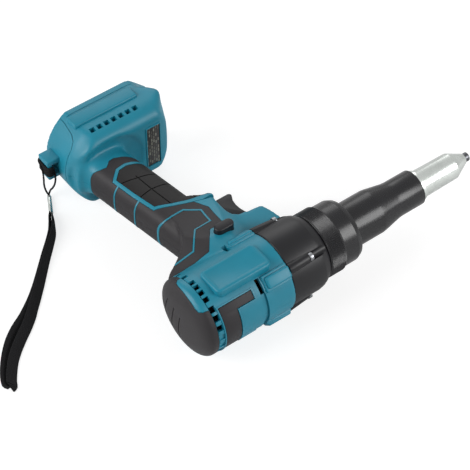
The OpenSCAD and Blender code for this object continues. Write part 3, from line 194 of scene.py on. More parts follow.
class RivetToolSizes(bpy.types.PropertyGroup):
    """Sizes of the rounding and the fine work on the tool."""
    voxel: bpy.props.FloatProperty(name="Shell grain", description="Grid of the rounded shells, in mm",
                                   default=1.0, min=0.7, max=2.0)
    rounding: bpy.props.IntProperty(name="Shell rounding", description="How often the shells are smoothed",
                                    default=9, min=2, max=30)
    foot_rounding: bpy.props.IntProperty(name="Foot rounding", default=14, min=0, max=40,
                                         description="How often the foot is smoothed again")
    joint: bpy.props.FloatProperty(name="Joint", description="Open joint between shell and rubber, in mm",
                                   default=0.35, min=0.1, max=1.0)
    line: bpy.props.FloatProperty(name="Inlay line", default=1.3, min=0.6, max=2.5,
                                  description="Width of the teal lines in the rubber, in mm")
    groove: bpy.props.FloatProperty(name="Groove", description="Width of the grooves in the grip, in mm",
                                    default=0.9, min=0.4, max=2.0)
    depth: bpy.props.FloatProperty(name="Groove depth", description="Depth of joints and grooves, in mm",
                                   default=0.9, min=0.3, max=2.0)
    edge: bpy.props.FloatProperty(name="Metal edge", description="Rounding of the turned edges, in mm",
                                  default=0.5, min=0.1, max=1.5)
    knurl_count: bpy.props.IntProperty(name="Knurl", description="Knurl points round the lock ring",
                                       default=120, min=40, max=200)


class RivetToolColours(bpy.types.PropertyGroup):
    """Colours of the tool's finishes, as sRGB hex values."""
    teal: bpy.props.StringProperty(name="Teal plastic", description="Shells and foot", default="187F96")
    rubber: bpy.props.StringProperty(name="Grey rubber", description="Grip, rear cap and top band",
                                     default="2F2D2F")
    black: bpy.props.StringProperty(name="Black", description="Trigger and button", default="1C1C1F")
    silver: bpy.props.StringProperty(name="Bright steel", description="Nozzle and crimp", default="D5DAD6")
    strap: bpy.props.StringProperty(name="Strap", description="Wrist strap", default="212122")
    copper: bpy.props.StringProperty(name="Copper", description="Windings and blades", default="B87840")


# Outlines

def mitres(points, closed):
    """The sideways step at each point of a line, long enough to keep a width round its corners."""
    count = len(points)
    steps = []
    for i in range(count):
        normals = []
        for j in (i - 1, i):
            if closed or 0 <= j < count - 1:
                along = (Vector(points[(j + 1) % count]) - Vector(points[j % count])).normalized()
                normals.append(Vector((-along.y, along.x)))
        steps.append((normals[0] + normals[-1]) / (1 + normals[0].dot(normals[-1])))
    return steps


def grown(points, distance):
    """An outline with its edges moved outwards."""
    count = len(points)
    area = sum(points[i][0] * points[(i + 1) % count][1] - points[(i + 1) % count][0] * points[i][1]
               for i in range(count))
    sign = -1 if area > 0 else 1
    return [tuple(Vector(p[:2]) + sign * distance * step) for p, step in zip(points, mitres(points, True))]


def stroke(points, width):
    """The outline of a line drawn with a width."""
    steps = mitres(points, False)
    left = [tuple(Vector(p) + width / 2 * step) for p, step in zip(points, steps)]
    right = [tuple(Vector(p) - width / 2 * step) for p, step in zip(points, steps)]
    return left + right[::-1]


def flowing(points, steps=5, closed=False):
    """A line through the points that bends smoothly at each of them."""
    spots = [Vector(p) for p in points]
    count = len(spots)
    slopes = []
    for i, spot in enumerate(spots):
        before = spots[i - 1] if closed or i > 0 else spot
        after = spots[(i + 1) % count] if closed or i < count - 1 else spot
        lengths = [d for d in ((spot - before).length, (after - spot).length) if d > 0]
        slopes.append((after - before).normalized() * min(lengths))
    line = []
    for i in range(count if closed else count - 1):
        a, b = spots[i], spots[(i + 1) % count]
        p, q = slopes[i], slopes[(i + 1) % count]
        for k in range(steps):
            t = k / steps
            line.append(a * (2 * t**3 - 3 * t**2 + 1) + p * (t**3 - 2 * t**2 + t)
                        + b * (3 * t**2 - 2 * t**3) + q * (t**3 - t**2))
    if not closed:
        line.append(spots[-1])
    return [tuple(v) for v in line]


def mirrored(half_line):
    """A closed outline from one side of it, given as (along, half width)."""
    return half_line + [(a, -w) for a, w in half_line[::-1]]


def squared(angle, half_long, half_wide, power):
    """A point on a ring between an ellipse (power 1) and an oblong (power 0)."""
    c, s = math.cos(angle), math.sin(angle)
    return half_long * math.copysign(abs(c) ** power, c), half_wide * math.copysign(abs(s) ** power, s)


def oblong(x0, x1, y0, y1, radius, steps=6):
    """A rectangle with round corners."""
    corners = [(x1 - radius, y1 - radius), (x0 + radius, y1 - radius),
               (x0 + radius, y0 + radius), (x1 - radius, y0 + radius)]
    ring = []
    for quarter, (x, y) in enumerate(corners):
        for i in range(steps + 1):
            angle = math.radians(90 * quarter + 90 * i / steps)
            ring.append((x + radius * math.cos(angle), y + radius * math.sin(angle)))
    return ring


# Solids in the tool's axes

def prism(points, low, high, axis="Z"):
    """A closed solid from an outline: axis Z takes (x, y), X takes (y, z) and Y takes (x, z)."""
    turn = {"Z": 0, "X": 1, "Y": 2}[axis]
    along = {"Z": Vector((0, 0, 1)), "X": Vector((1, 0, 0)), "Y": Vector((0, 1, 0))}[axis]
    form = bmesh.new()
    corners = [form.verts.new(((a, b, low), (low, a, b), (a, low, b))[turn]) for a, b in points]
    face = form.faces.new(corners)
    raised = bmesh.ops.extrude_face_region(form, geom=[face])["geom"]
    tops = [v for v in raised if isinstance(v, bmesh.types.BMVert)]
    bmesh.ops.translate(form, vec=along * (high - low), verts=tops)
    bmesh.ops.recalc_face_normals(form, faces=form.faces)
    return form


def through(points):
    """A solid from a side view, right through the tool."""
    return prism(points, -FAR, FAR)


def box(x0, x1, y0, y1, z0, z1):
    """A block between two corners."""
    return prism([(x0, y0), (x1, y0), (x1, y1), (x0, y1)], z0, z1)


def turned(profile, closed=False, steps=96):
    """A solid turned round the barrel axis from (x, radius) points."""
    form = bmesh.new()
    line = [form.verts.new((x, r, 0)) for x, r in profile]
    edges = [form.edges.new(pair) for pair in zip(line, line[1:])]
    if closed:
        edges.append(form.edges.new((line[-1], line[0])))
    bmesh.ops.spin(form, geom=line + edges, axis=(1, 0, 0), cent=(0, 0, 0), angle=math.tau, steps=steps,
                   use_merge=True)
    bmesh.ops.remove_doubles(form, verts=form.verts, dist=0.0005)
    bmesh.ops.recalc_face_normals(form, faces=form.faces)
    return form


def rod(x0, x1, radius, steps=96):
    """A round bar along the barrel axis."""
    return turned([(x0, 0), (x0, radius), (x1, radius), (x1, 0)], steps=steps)


def tube(x0, x1, outer, inner, steps=96):
    """A round pipe along the barrel axis."""
    return turned([(x0, outer), (x1, outer), (x1, inner), (x0, inner)], closed=True, steps=steps)


def wedge(x0, x1, start, end, steps=12):
    """A slice of the barrel between two angles, counted from the left side to the top, in degrees."""
    ring = [(0.0, 0.0)]
    for i in range(steps + 1):
        angle = math.radians(start + (end - start) * i / steps)
        ring.append((-FAR * math.sin(angle), FAR * math.cos(angle)))
    return prism(ring, x0, x1, axis="X")


def moved(form, matrix):
    """The same solid, moved or turned."""
    bmesh.ops.transform(form, matrix=matrix, verts=form.verts)
    return form


def rolled(form, angle):
    """The same solid, turned round the barrel axis by degrees."""
    return moved(form, Matrix.Rotation(math.radians(angle), 4, "X"))


def flipped(form):
    """A copy of a solid on the tool's right side."""
    copy = form.copy()
    bmesh.ops.scale(copy, vec=(1, 1, -1), verts=copy.verts)
    bmesh.ops.reverse_faces(copy, faces=copy.faces)
    return copy


def mesh_of(form, name):
    """A mesh made from a solid, which is used up."""
    mesh = bpy.data.meshes.new(name)
    form.to_mesh(mesh)
    form.free()
    return mesh


def shown(name, data):
    """A new object in the scene."""
    item = bpy.data.objects.new(name, data)
    bpy.context.scene.collection.objects.link(item)
    return item


def drop(item):
    """Takes an object and its mesh away."""
    mesh = item.data
    bpy.data.objects.remove(item)
    bpy.data.meshes.remove(mesh)


def gather(forms):
    """Several solids in one mesh."""
    whole = bmesh.new()
    for form in forms:
        mesh = mesh_of(form, "part")
        whole.from_mesh(mesh)
        bpy.data.meshes.remove(mesh)
    return whole


def soften(form, width, segments=3, angle=30):
    """Rounds the edges that are sharper than an angle."""
    limit = math.radians(angle)
    edges = [e for e in form.edges if len(e.link_faces) == 2 and e.calc_face_angle(0) > limit]
    bmesh.ops.bevel(form, geom=edges, offset=width, offset_type="OFFSET", segments=segments, profile=0.5,
                    affect="EDGES", clamp_overlap=True, material=-1)
    return form


def worked(form, setup):
    """A mesh after some modifiers, which setup adds to its object."""
    item = shown("work", mesh_of(form, "work"))
    setup(item)
    result = bmesh.new()
    result.from_object(item, bpy.context.evaluated_depsgraph_get())
    drop(item)
    return result


def carve(form, operation, *tools):
    """Joins solids (UNION), cuts them (DIFFERENCE) or keeps what they share (INTERSECT)."""
    for tool in tools:
        cutter = shown("tool", mesh_of(tool, "tool"))

        def setup(item):
            change = item.modifiers.new("carve", "BOOLEAN")
            change.operation = operation
            change.solver = "MANIFOLD"
            change.object = cutter

        form = worked(form, setup)
        drop(cutter)
        if not form.faces:
            raise RuntimeError("a solid came out empty")
    return form


def cut_out(form, outline, *cutters):
    """What a solid has inside an outline of the side view, less the cutters."""
    return carve(carve(form, "INTERSECT", through(outline)), "DIFFERENCE", *cutters)


def swollen(form, distance):
    """A copy of a solid with its skin moved outwards."""
    copy = form.copy()
    copy.normal_update()
    shifts = [v.normal * distance for v in copy.verts]
    for vert, shift in zip(copy.verts, shifts):
        vert.co += shift
    return copy


def half(form, side):
    """The left (1) or right (-1) half of a solid, with a fine seam at the middle plane."""
    seam = 0.05
    low, high = (seam, FAR) if side > 0 else (-FAR, -seam)
    return carve(form.copy(), "INTERSECT", box(-20, 300, -60, 230, low, high))


def finish(form, name, body, slot, *replaces, coat=None):
    """Makes a solid a piece on one of the tool's bodies, in its slot's finish or another coat."""
    moved(form, TO_ROW)
    form.normal_update()
    smooth_below = math.radians(32)
    for face in form.faces:
        face.smooth = True
    for edge in form.edges:
        edge.smooth = len(edge.link_faces) == 2 and edge.calc_face_angle(0) < smooth_below
    piece = shown(name, mesh_of(form, name))
    piece.data.materials.append(finish_of(coat or slot))
    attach(piece, body)
    if replaces:
        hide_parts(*replaces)
    return piece


# Finishes

FINISHES = {}


def finish_of(key):
    """A finish by its key; all are made at the first call."""
    if not FINISHES:
        FINISHES.update(make_finishes())
    return FINISHES[key]


def linear(code):
    """Linear colour of an sRGB hex code."""
    parts = [int(code[i:i + 2], 16) / 255 for i in (0, 2, 4)]
    return [c / 12.92 if c <= 0.04045 else ((c + 0.055) / 1.055) ** 2.4 for c in parts] + [1.0]


def shade(code, share):
    """An sRGB hex code made lighter or darker by a share."""
    parts = [int(code[i:i + 2], 16) for i in (0, 2, 4)]
    return "".join("%02X" % max(0, min(255, round(c * share))) for c in parts)


def add(tree, kind, links=(), **settings):
    """Adds a node: settings name its sockets or its options, links are (from socket, to socket name)."""
    node = tree.nodes.new(kind)
    for name, value in settings.items():
        socket = name.replace("_", " ")
        if socket in node.inputs:
            node.inputs[socket].default_value = value
        else:
            setattr(node, name, value)
    for source, name in links:
        tree.links.new(source, node.inputs[name])
    return node


def blank(name, **settings):
    """A new material with some of its shader's sockets set; returns it, its node tree and its shader."""
    material = bpy.data.materials.new(name)
    material.use_nodes = True
    shader = material.node_tree.nodes["Principled BSDF"]
    for socket, value in settings.items():
        shader.inputs[socket.replace("_", " ")].default_value = value
    return material, material.node_tree, shader


def raise_relief(tree, shader, height, strength, distance):
    """Joins a height pattern to the shader as a bump, its distance in metres."""
    relief = add(tree, "ShaderNodeBump", [(height, "Height")], Strength=strength, Distance=distance)
    tree.links.new(relief.outputs["Normal"], shader.inputs["Normal"])


def finish_material(name, code, rough, metal=0.0, grain_mm=0.6, bump=0.1, spread=0.12, stretch=(1, 1, 1),
                    shine=0.5):
    """A finish with a fine grain and a slow change of tone over the surface."""
    patches_per_metre = 60.0
    material, tree, shader = blank(name, Metallic=metal, Specular_IOR_Level=shine)
    place = add(tree, "ShaderNodeTexCoord").outputs["Object"]
    sized = add(tree, "ShaderNodeMapping", [(place, "Vector")], Scale=stretch).outputs["Vector"]
    slow = add(tree, "ShaderNodeTexNoise", [(place, "Vector")], Scale=patches_per_metre, Detail=3.0)
    fine = add(tree, "ShaderNodeTexNoise", [(sized, "Vector")], Scale=1000 / grain_mm, Detail=2.0)
    tone = add(tree, "ShaderNodeMix", [(slow.outputs["Fac"], "Factor")], data_type="RGBA")
    colours = [s for s in tone.inputs if s.type == "RGBA"]
    colours[0].default_value = linear(shade(code, 1 - spread))
    colours[1].default_value = linear(shade(code, 1 + spread))
    result = [s for s in tone.outputs if s.type == "RGBA"][0]
    tree.links.new(result, shader.inputs["Base Color"])
    gloss = add(tree, "ShaderNodeMapRange", [(fine.outputs["Fac"], "Value")],
                To_Min=rough - 0.06, To_Max=rough + 0.06)
    tree.links.new(gloss.outputs["Result"], shader.inputs["Roughness"])
    raise_relief(tree, shader, fine.outputs["Fac"], bump, 0.0002)
    return material


def woven_material(name, code):
    """Webbing with ribs across it, 1.5 mm wide, coarser than real threads so that they can be seen."""
    ribs_scale = 210.0
    material, tree, shader = blank(name, Roughness=0.85, Specular_IOR_Level=0.1)
    place = add(tree, "ShaderNodeTexCoord")
    turn = add(tree, "ShaderNodeMapping", [(place.outputs["Object"], "Vector")],
               Rotation=(0, 0, math.radians(-45)))
    ribs = add(tree, "ShaderNodeTexWave", [(turn.outputs["Vector"], "Vector")], Scale=ribs_scale,
               Distortion=0.6)
    ramp = add(tree, "ShaderNodeMapRange", [(ribs.outputs["Fac"], "Value")], To_Min=0.65, To_Max=1.35)
    tint = add(tree, "ShaderNodeVectorMath", [(ramp.outputs["Result"], "Vector")], operation="MULTIPLY")
    tint.inputs[1].default_value = linear(code)[:3]
    tree.links.new(tint.outputs["Vector"], shader.inputs["Base Color"])
    raise_relief(tree, shader, ribs.outputs["Fac"], 0.5, 0.0004)
    return material


def plate_material(name):
    """Dark film with rows of plain marks, coarser than real print so that they can be seen."""
    material, tree, shader = blank(name, Roughness=0.35)
    place = add(tree, "ShaderNodeTexCoord")
    parts = add(tree, "ShaderNodeSeparateXYZ", [(place.outputs["Object"], "Vector")])
    flat = add(tree, "ShaderNodeCombineXYZ", [(parts.outputs["Z"], "X"), (parts.outputs["X"], "Y")])
    marks = add(tree, "ShaderNodeTexBrick", [(flat.outputs["Vector"], "Vector")], Scale=1.0,
                Color1=linear("2A2828"), Color2=linear("8E9084"), Mortar=linear("232122"),
                Mortar_Size=0.0005, Bias=-0.2, Brick_Width=0.0042, Row_Height=0.0021)
    tree.links.new(marks.outputs["Color"], shader.inputs["Base Color"])
    return material


def make_finishes():
    """All finishes of the tool, by slot name; the nosepiece has its own."""
    c = bpy.context.scene.rivet_colours
    return {
        # Satin moulded plastic with a fine spark grain
        "teal_plastic": finish_material("Moulded teal plastic", c.teal, 0.42, grain_mm=0.7, bump=0.08,
                                        spread=0.05, shine=0.4),
        # Dull soft overmould with a stippled skin
        "grey_rubber": finish_material("Stippled grey rubber", c.rubber, 0.52, grain_mm=0.8, bump=0.2,
                                       spread=0.07, shine=0.25),
        # Darker, smoother rubber of the front panel
        "black_rubber": finish_material("Black rubber", "232222", 0.5, grain_mm=0.9, bump=0.2, spread=0.08,
                                        shine=0.2),
        # Grey engineering plastic inside
        "grey_plastic": finish_material("Grey plastic", "6E6F72", 0.5),
        # Smooth black plastic of the controls
        "black_plastic": finish_material("Black plastic", c.black, 0.38, grain_mm=0.9, bump=0.08, shine=0.3),
        # Black coat on the alloy castings, satin
        "black_alloy": finish_material("Satin black coat on alloy", "161619", 0.4, grain_mm=0.8, shine=0.35),
        # Blackened turned metal that mirrors the lamps
        "black_metal": finish_material("Blackened steel", "141417", 0.26, grain_mm=0.8, bump=0.04,
                                       shine=0.45),
        # Bright plated steel with fine turning marks round the axis
        "bright_steel": finish_material("Bright turned steel", c.silver, 0.26, metal=1.0, grain_mm=1.2,
                                        bump=0.05, stretch=(6, 0.4, 0.4)),
        # Plain machined steel
        "steel": finish_material("Machined steel", "8E9093", 0.34, metal=1.0, grain_mm=1.0, bump=0.06),
        # Hardened steel of the nosepiece, darker than the sleeve
        "tip_steel": finish_material("Hardened steel", "5E5F63", 0.3, metal=1.0, grain_mm=1.0, bump=0.06),
        # Enamelled copper wire and plain copper
        "copper": finish_material("Copper", c.copper, 0.35, metal=1.0, bump=0.15),
        # Green solder mask
        "circuit_board": finish_material("Circuit board", "1E5A3A", 0.45),
        # Dark film with plain marks where a maker would print
        "plate_film": plate_material("Dark plate film"),
        # Insulation of the leads
        "lead_sleeve": finish_material("Lead insulation", "8A2A22", 0.5),
        # Ribbed woven strap
        "strap_fabric": woven_material("Ribbed webbing", c.strap),
    }


# The shells' common form

def neck_form():
    """Neck between barrel and grip, as the overlap of its three views."""
    side = prism(flowing(NECK_SIDE, 4, closed=True), -33, 33)
    front = prism(mirrored(flowing(NECK_FRONT, 5)), 0, 140, axis="X")
    plan = prism(mirrored(flowing(NECK_PLAN, 5)), 0, 120, axis="Y")
    return carve(side, "INTERSECT", front, plan)


def grip_form(margin, start, end):
    """A length of the grip, a rounded oblong, with a margin round it."""
    count = 56
    ring = [squared(math.tau * i / count, GRIP_HALF[0] + margin, GRIP_HALF[1] + margin, 0.62)
            for i in range(count)]
    place = Matrix.Translation((*GRIP_AT, 0)) @ Matrix.Rotation(GRIP_RAKE, 4, "Z")
    return moved(prism(ring, start, end, axis="Y"), place)


def foot_plan(corner, margin=0.0, radius=42.0):
    """The foot seen from above, as (x, z), from its rear arc and a corner at its front."""
    reach = math.asin(FOOT_HALF / radius)
    ring = []
    for i in range(25):
        angle = reach * (1 - 2 * i / 24)
        ring.append((FOOT_REAR + radius - radius * math.cos(angle), radius * math.sin(angle)))
    ring += [(x, -z) for x, z in corner] + corner[::-1]
    return grown(ring, margin)


def tapered(first, low, second, high):
    """A solid along Y from one outline to another with as many points."""
    form = prism(first, low, high, axis="Y")
    for vert in form.verts:
        if vert.co.y > (low + high) / 2:
            away = [abs(x - vert.co.x) + abs(z - vert.co.z) for x, z in first]
            vert.co.x, vert.co.z = second[away.index(min(away))]
    return form


def foot_form():
    """The foot with its crown and its bowl, a little large for the smoothing to come."""
    spare = 0.6
    nose_slope = 8
    crown_low, crown_high = 180, 184
    side = prism([(FOOT_REAR - spare, FOOT_TOP), (FOOT_FRONT - nose_slope + spare, FOOT_TOP),
                  (FOOT_FRONT + spare, FOOT_UNDER), (FOOT_REAR - spare, FOOT_UNDER)], -50, 50)
    low = carve(prism(foot_plan(FOOT_CORNER, spare), FOOT_TOP, FOOT_UNDER, axis="Y"), "INTERSECT", side)
    wide = foot_plan(CROWN_CORNER, spare)
    upper = tapered(foot_plan(CROWN_RIM, spare, radius=37.5), CROWN_TOP - spare, wide, crown_low)
    lower = tapered(wide, crown_high, foot_plan(FOOT_CORNER, spare), 198)
    crown = carve(prism(wide, crown_low - 0.1, crown_high + 0.1, axis="Y"), "UNION", upper, lower)
    crown = carve(crown, "INTERSECT", prism(grown(CROWN_SIDE, spare), -50, 50),
                  prism(grown(mirrored(CROWN_FRONT), spare), 0, 140, axis="X"))
    bowl = bmesh.new()
    place = Matrix.Translation((BOWL_X, CROWN_TOP - spare, 0)) @ Matrix.Diagonal((*BOWL_HALF, 1))
    bmesh.ops.create_uvsphere(bowl, u_segments=64, v_segments=32, radius=1, matrix=place)
    crown = carve(crown, "DIFFERENCE", bowl)
    return carve(low, "UNION", crown)


def body_form():
    """Barrel, neck, grip and foot flowing into each other."""
    sizes = bpy.context.scene.rivet_sizes
    barrel = rod(SHELL_REAR, SHELL_FRONT, BARREL_R)
    flare = [grip_form(margin, start, 76) for margin, start in GRIP_FLARE]
    whole = carve(barrel, "UNION", neck_form(), grip_form(0, -40, 84), foot_form(), *flare)

    def setup(item):
        grid = item.modifiers.new("grid", "REMESH")
        grid.mode = "VOXEL"
        grid.voxel_size = sizes.voxel
        relax = item.modifiers.new("relax", "SMOOTH")
        relax.factor = 0.5
        relax.iterations = sizes.rounding

    whole = worked(whole, setup)
    # The foot is softer than the rest
    foot = [v for v in whole.verts if 152 < v.co.y < 199]
    for _ in range(sizes.foot_rounding):
        bmesh.ops.smooth_vert(whole, verts=foot, factor=0.5, use_axis_x=True, use_axis_y=True,
                              use_axis_z=True)
    # The barrel's free part is set back on its true radius
    for vert in whole.verts:
        reach = math.hypot(vert.co.y, vert.co.z)
        if SHELL_REAR + 2 < vert.co.x < SHELL_FRONT - 2 and vert.co.y < 8 and reach > 31:
            vert.co.y *= BARREL_R / reach
            vert.co.z *= BARREL_R / reach
    return whole


def crowned(form):
    """A solid on the barrel with its top made a little higher than round, as the shells are."""
    for vert in form.verts:
        if vert.co.y < 0 and vert.co.x < 82:
            vert.co.y *= 1.035
    return form


# What stands on the shells

def side_pads():
    """Raised pads on both sides of the barrel, with a lower field inside a rounded rim."""
    pad = soften(prism(oblong(19.4, 69.6, -17.2, 7.6, 4.5), 24, 34.7), 1.6, segments=4, angle=60)
    top = max((f for f in pad.faces if f.normal.z > 0.99), key=lambda f: f.calc_area())
    bmesh.ops.inset_region(pad, faces=[top], thickness=1.6, depth=0)
    bmesh.ops.inset_region(pad, faces=[top], thickness=0.8, depth=-0.4)
    return [pad, flipped(pad)]


def round_the_barrel(form):
    """Four copies of a solid, at the four long screws round the barrel."""
    return [rolled(form.copy(), angle) for angle in (45, 135, 225, 315)]


def screw_lugs(x0, x1, radius, fall=0.0):
    """Bars for the four long screws, which may come down towards the front."""
    bar = soften(rod(x0, x1, radius, steps=40), 0.6, segments=2)
    for vert in bar.verts:
        vert.co.y += LUG_ORBIT - fall * (vert.co.x - x0)
    return round_the_barrel(bar)


def shell_lugs():
    """Blocks on the shells round the long screws, each on a low collar."""
    block = soften(box(58.8, 80.6, 25, 36, -4.9, 4.9), 1.7, segments=4)
    collar = soften(box(57, 80.4, 25, 33.7, -6.9, 6.9), 0.9, segments=3)
    return round_the_barrel(collar) + round_the_barrel(block)


def foot_panels():
    """Raised fields on both sides of the foot; the tool lies on the right one, which is lower."""
    return [soften(box(28.6, 88.9, 184.9, 197.4, z0, z1), 1.5, segments=4)
            for z0, z1 in ((30, 38.7), (FLOOR, -30))]


def plate_rim():
    """A low rim on the foot round the plate."""
    return soften(box(79.9, 94.3, 161.2, 164, -22.8, 22.8), 0.35, segments=3)


def band_rim():
    """A low rim on the shells round the top band."""
    rim = carve(top_band_form(33.1, 31.5, 1.5), "DIFFERENCE", top_band_form(40, 31, 0.45))
    return soften(rim, 0.3, segments=2, angle=50)


# What is cut into the shells

def vent_cutters():
    """Openings round the rear of the barrel, with a blind one at the end."""
    cutters = []
    for angle, width in VENTS:
        hole = soften(box(9, 13.7, -width / 2, width / 2, 26, 37), 0.35, segments=2)
        cutters.append(rolled(hole, angle))
    cutters.append(rolled(soften(box(9, 13.7, -2.5, 2.5, 31.5, 37), 0.3, segments=2), 82))
    return cutters + [flipped(hole) for hole in cutters]


def barrel_slots():
    """Two dark slots on each side beside the lugs, and the sunk band between the upper ones."""
    short = rolled(box(52, 56, -4.2, 4.2, 26, 36), -35)
    long = rolled(box(51.6, 55.6, -6.2, 6.2, 26, 36), 44)
    band = carve(tube(51.3, 55.8, 40, 30.9), "INTERSECT", wedge(50, 57, 55, 125, steps=24))
    return [short, flipped(short), long, flipped(long), band]


def button_bar(margin, low, high):
    """The direction button's rounded bar."""
    radius = BUTTON_R + margin
    ring = []
    for side in (1, -1):
        for i in range(13):
            angle = side * math.pi / 2 - math.pi * i / 12
            ring.append((BUTTON_AT[0] + side * BUTTON_RUN + radius * math.cos(angle),
                         BUTTON_AT[1] + radius * math.sin(angle)))
    return prism(ring, low, high)


def button_hole():
    """The hole through the neck for the direction button."""
    return button_bar(0.4, -FAR, FAR)


def trigger_window():
    """The opening in the front of the neck for the trigger."""
    return box(70, 140, 51, 77.3, -9.4, 9.4)


def screw_wells():
    """Sunk holes over the housing screws on the right side."""
    deep = -8
    wells = bmesh.new()
    for x, y in SCREWS:
        bmesh.ops.create_cone(wells, cap_ends=True, segments=40, radius1=3.6, radius2=3.6, depth=FAR + deep,
                              matrix=Matrix.Translation((x, y, (deep - FAR) / 2)))
    return wells


def foot_vents():
    """Square holes in both sides of the foot."""
    holes = []
    for i in range(7):
        x = 38.8 + 6.8 * i
        holes += [soften(box(x - 2.3, x + 2.3, 173.2, 177.9, z, z + 9), 0.3, segments=2) for z in (30, -39)]
    return holes


def foot_seams():
    """Fine grooves over the foot's lower edge, between the shells and the base."""
    groove = box(26, 93, 200, 200.5, 35.2, 40)
    return [groove, flipped(groove)]


# Base, rear cap and top band

def base_form(heel):
    """The battery base: heel, floor, channel with rails, and the strap eye."""
    floor = carve(prism(foot_plan(FOOT_CORNER, -3.2), 186.2, FOOT_UNDER, axis="Y"), "INTERSECT",
                  through([(0, 180), (102.5, 180), (109.3, 206), (109.3, 230), (0, 230)]))
    eye = carve(soften(box(2.5, 17, 188, 200, -10.5, 10.5), 1.2), "UNION",
                soften(box(1.6, 17, 187.2, 200.8, 6.3, 11), 1.0))
    eye = carve(eye, "DIFFERENCE", soften(box(6.1, 12.1, 180, 210, -6.2, 6.2), 0.5))
    base = carve(heel, "UNION", floor, eye)
    base = carve(base, "DIFFERENCE", box(34, 130, 190, 215, -20, 20))
    rails = [box(34, 108, 200, 203, 16, 20.4), box(34, 108, 200, 203, -20.4, -16)]
    return carve(base, "UNION", gather(rails))


def cap_profile(shift=0.0):
    """The rear cap's domed outside as (x, radius), from its middle to its edge."""
    edge, dome = 6, 9.3
    line = []
    for i in range(25):
        share = math.sin(math.pi / 2 * i / 24)
        line.append((edge + shift - dome * (1 - share ** 3) ** (1 / 2.2), BARREL_R * share))
    return line + [(SHELL_REAR + shift, BARREL_R)]


def cap_tongue(side):
    """The shell's tongue that reaches back over the rear cap."""
    form = turned(cap_profile() + [(SHELL_REAR, 26), (5, 24), (5, 0)], steps=128)
    form = carve(form, "INTERSECT", prism(TONGUE, 12, 40))
    return form if side > 0 else flipped(form)


def cap_grooves():
    """Short shallow arcs pressed into the rear cap."""
    cutters = []
    for arc in CAP_ARCS:
        cutter = prism(stroke(flowing(arc, 4), 0.9), -6, 12, axis="X")
        inside = turned(cap_profile(0.5) + [(14, BARREL_R), (14, 0)], steps=128)
        cutters.append(carve(cutter, "DIFFERENCE", inside))
    return cutters


def top_band_form(outer, inner, margin):
    """The overmould on top of the barrel: a band with two arms towards the front."""
    turn = math.degrees(margin / BARREL_R)
    band = wedge(15.5 - margin, 29.5 + margin, 42 - turn, 138 + turn, steps=32)
    arms = [wedge(20, 45.5 + margin, start - turn, start + 12 + turn) for start in (42, 126)]
    return carve(tube(10, 50, outer, inner, steps=128), "INTERSECT", carve(band, "UNION", *arms))


class RIVET_OT_shells(bpy.types.Operator):
    """Builds the plastic shells, the rubber grip and the foot from one rounded form"""
    bl_idname = "rivet.shells"
    bl_label = "Shells and grip"

    def execute(self, context):
        sizes = context.scene.rivet_sizes
        body = body_form()
        skin = carve(body.copy(), "UNION", gather(side_pads()), *shell_lugs(), gather(foot_panels()),
                     band_rim(), plate_rim())
        motor_room = rod(-5, 82, 29.4)
        gear_room = rod(SHELL_FRONT, 140, 32.2)
        plate_bed = box(80.8, 93.4, 150, 162.9, -21.9, 21.9)
        foot_room = prism(foot_plan(FOOT_CORNER, -3), 186, 215, axis="Y")
        rail_mouth = box(92.5, 130, 190, 230, -20, 20)
        skin = carve(skin, "DIFFERENCE", motor_room, gear_room, gather(vent_cutters()), *barrel_slots(),
                     top_band_form(40, 31.2, 0.5), trigger_window(), button_hole(), gather(foot_vents()),
                     plate_bed, gather(foot_seams()), foot_room, through(grown(HEEL, 0.4)), rail_mouth,
                     screw_wells(), through(grown(RUBBER, sizes.joint)),
                     through(grown(FRAME_OUT, sizes.joint)))
        for side, name in ((1, "left"), (-1, "right")):
            shell = gather([half(skin, side), cap_tongue(side)])
            finish(crowned(shell), name + "_shell", "tool", "teal_plastic", name + "_housing")
        skin.free()
        self.grip(body, sizes)
        finish(base_form(cut_out(body, HEEL)), "foot_base", "tool", "teal_plastic", "battery_base")
        return {"FINISHED"}

    def grip(self, body, sizes):
        """The rubber halves, the front panel, the teal lines and what lies under their joints."""
        barrel = rod(-5, 82, 32.9)
        rubber = cut_out(body.copy(), RUBBER, barrel.copy(), through(grown(FRAME_OUT, sizes.joint)),
                         button_hole(), screw_wells(),
                         *[through(stroke(line, sizes.line + 0.5)) for line in INLAY_LINES])
        for side, name in ((1, "left"), (-1, "right")):
            finish(half(rubber, side), name + "_rubber_grip", "tool", "grey_rubber", name + "_grip")
        rubber.free()
        panel = cut_out(body.copy(), grown(FRAME_IN, -sizes.joint),
                        *[through(stroke(line, sizes.groove)) for line in PANEL_GROOVES])
        finish(panel, "grip_front_panel", "tool", "black_rubber", "grip_front_pad")
        proud = swollen(body, 0.2)
        rim = cut_out(proud.copy(), FRAME_OUT, through(FRAME_IN), box(70, 140, 40, 77.3, -30, 30))
        finish(rim, "grip_panel_frame", "tool", "teal_plastic")
        for letter, line in zip("abc", INLAY_LINES):
            inlay = cut_out(proud.copy(), stroke(line, sizes.line), barrel.copy(),
                            through(grown(FRAME_OUT, 0.1)))
            finish(inlay, "inlay_line_" + letter, "tool", "teal_plastic")
        proud.free()
        core = cut_out(swollen(body, -sizes.depth), grown(RUBBER, 3), barrel, trigger_window(),
                       button_hole(), screw_wells())
        finish(core, "grip_core", "tool", "black_plastic")


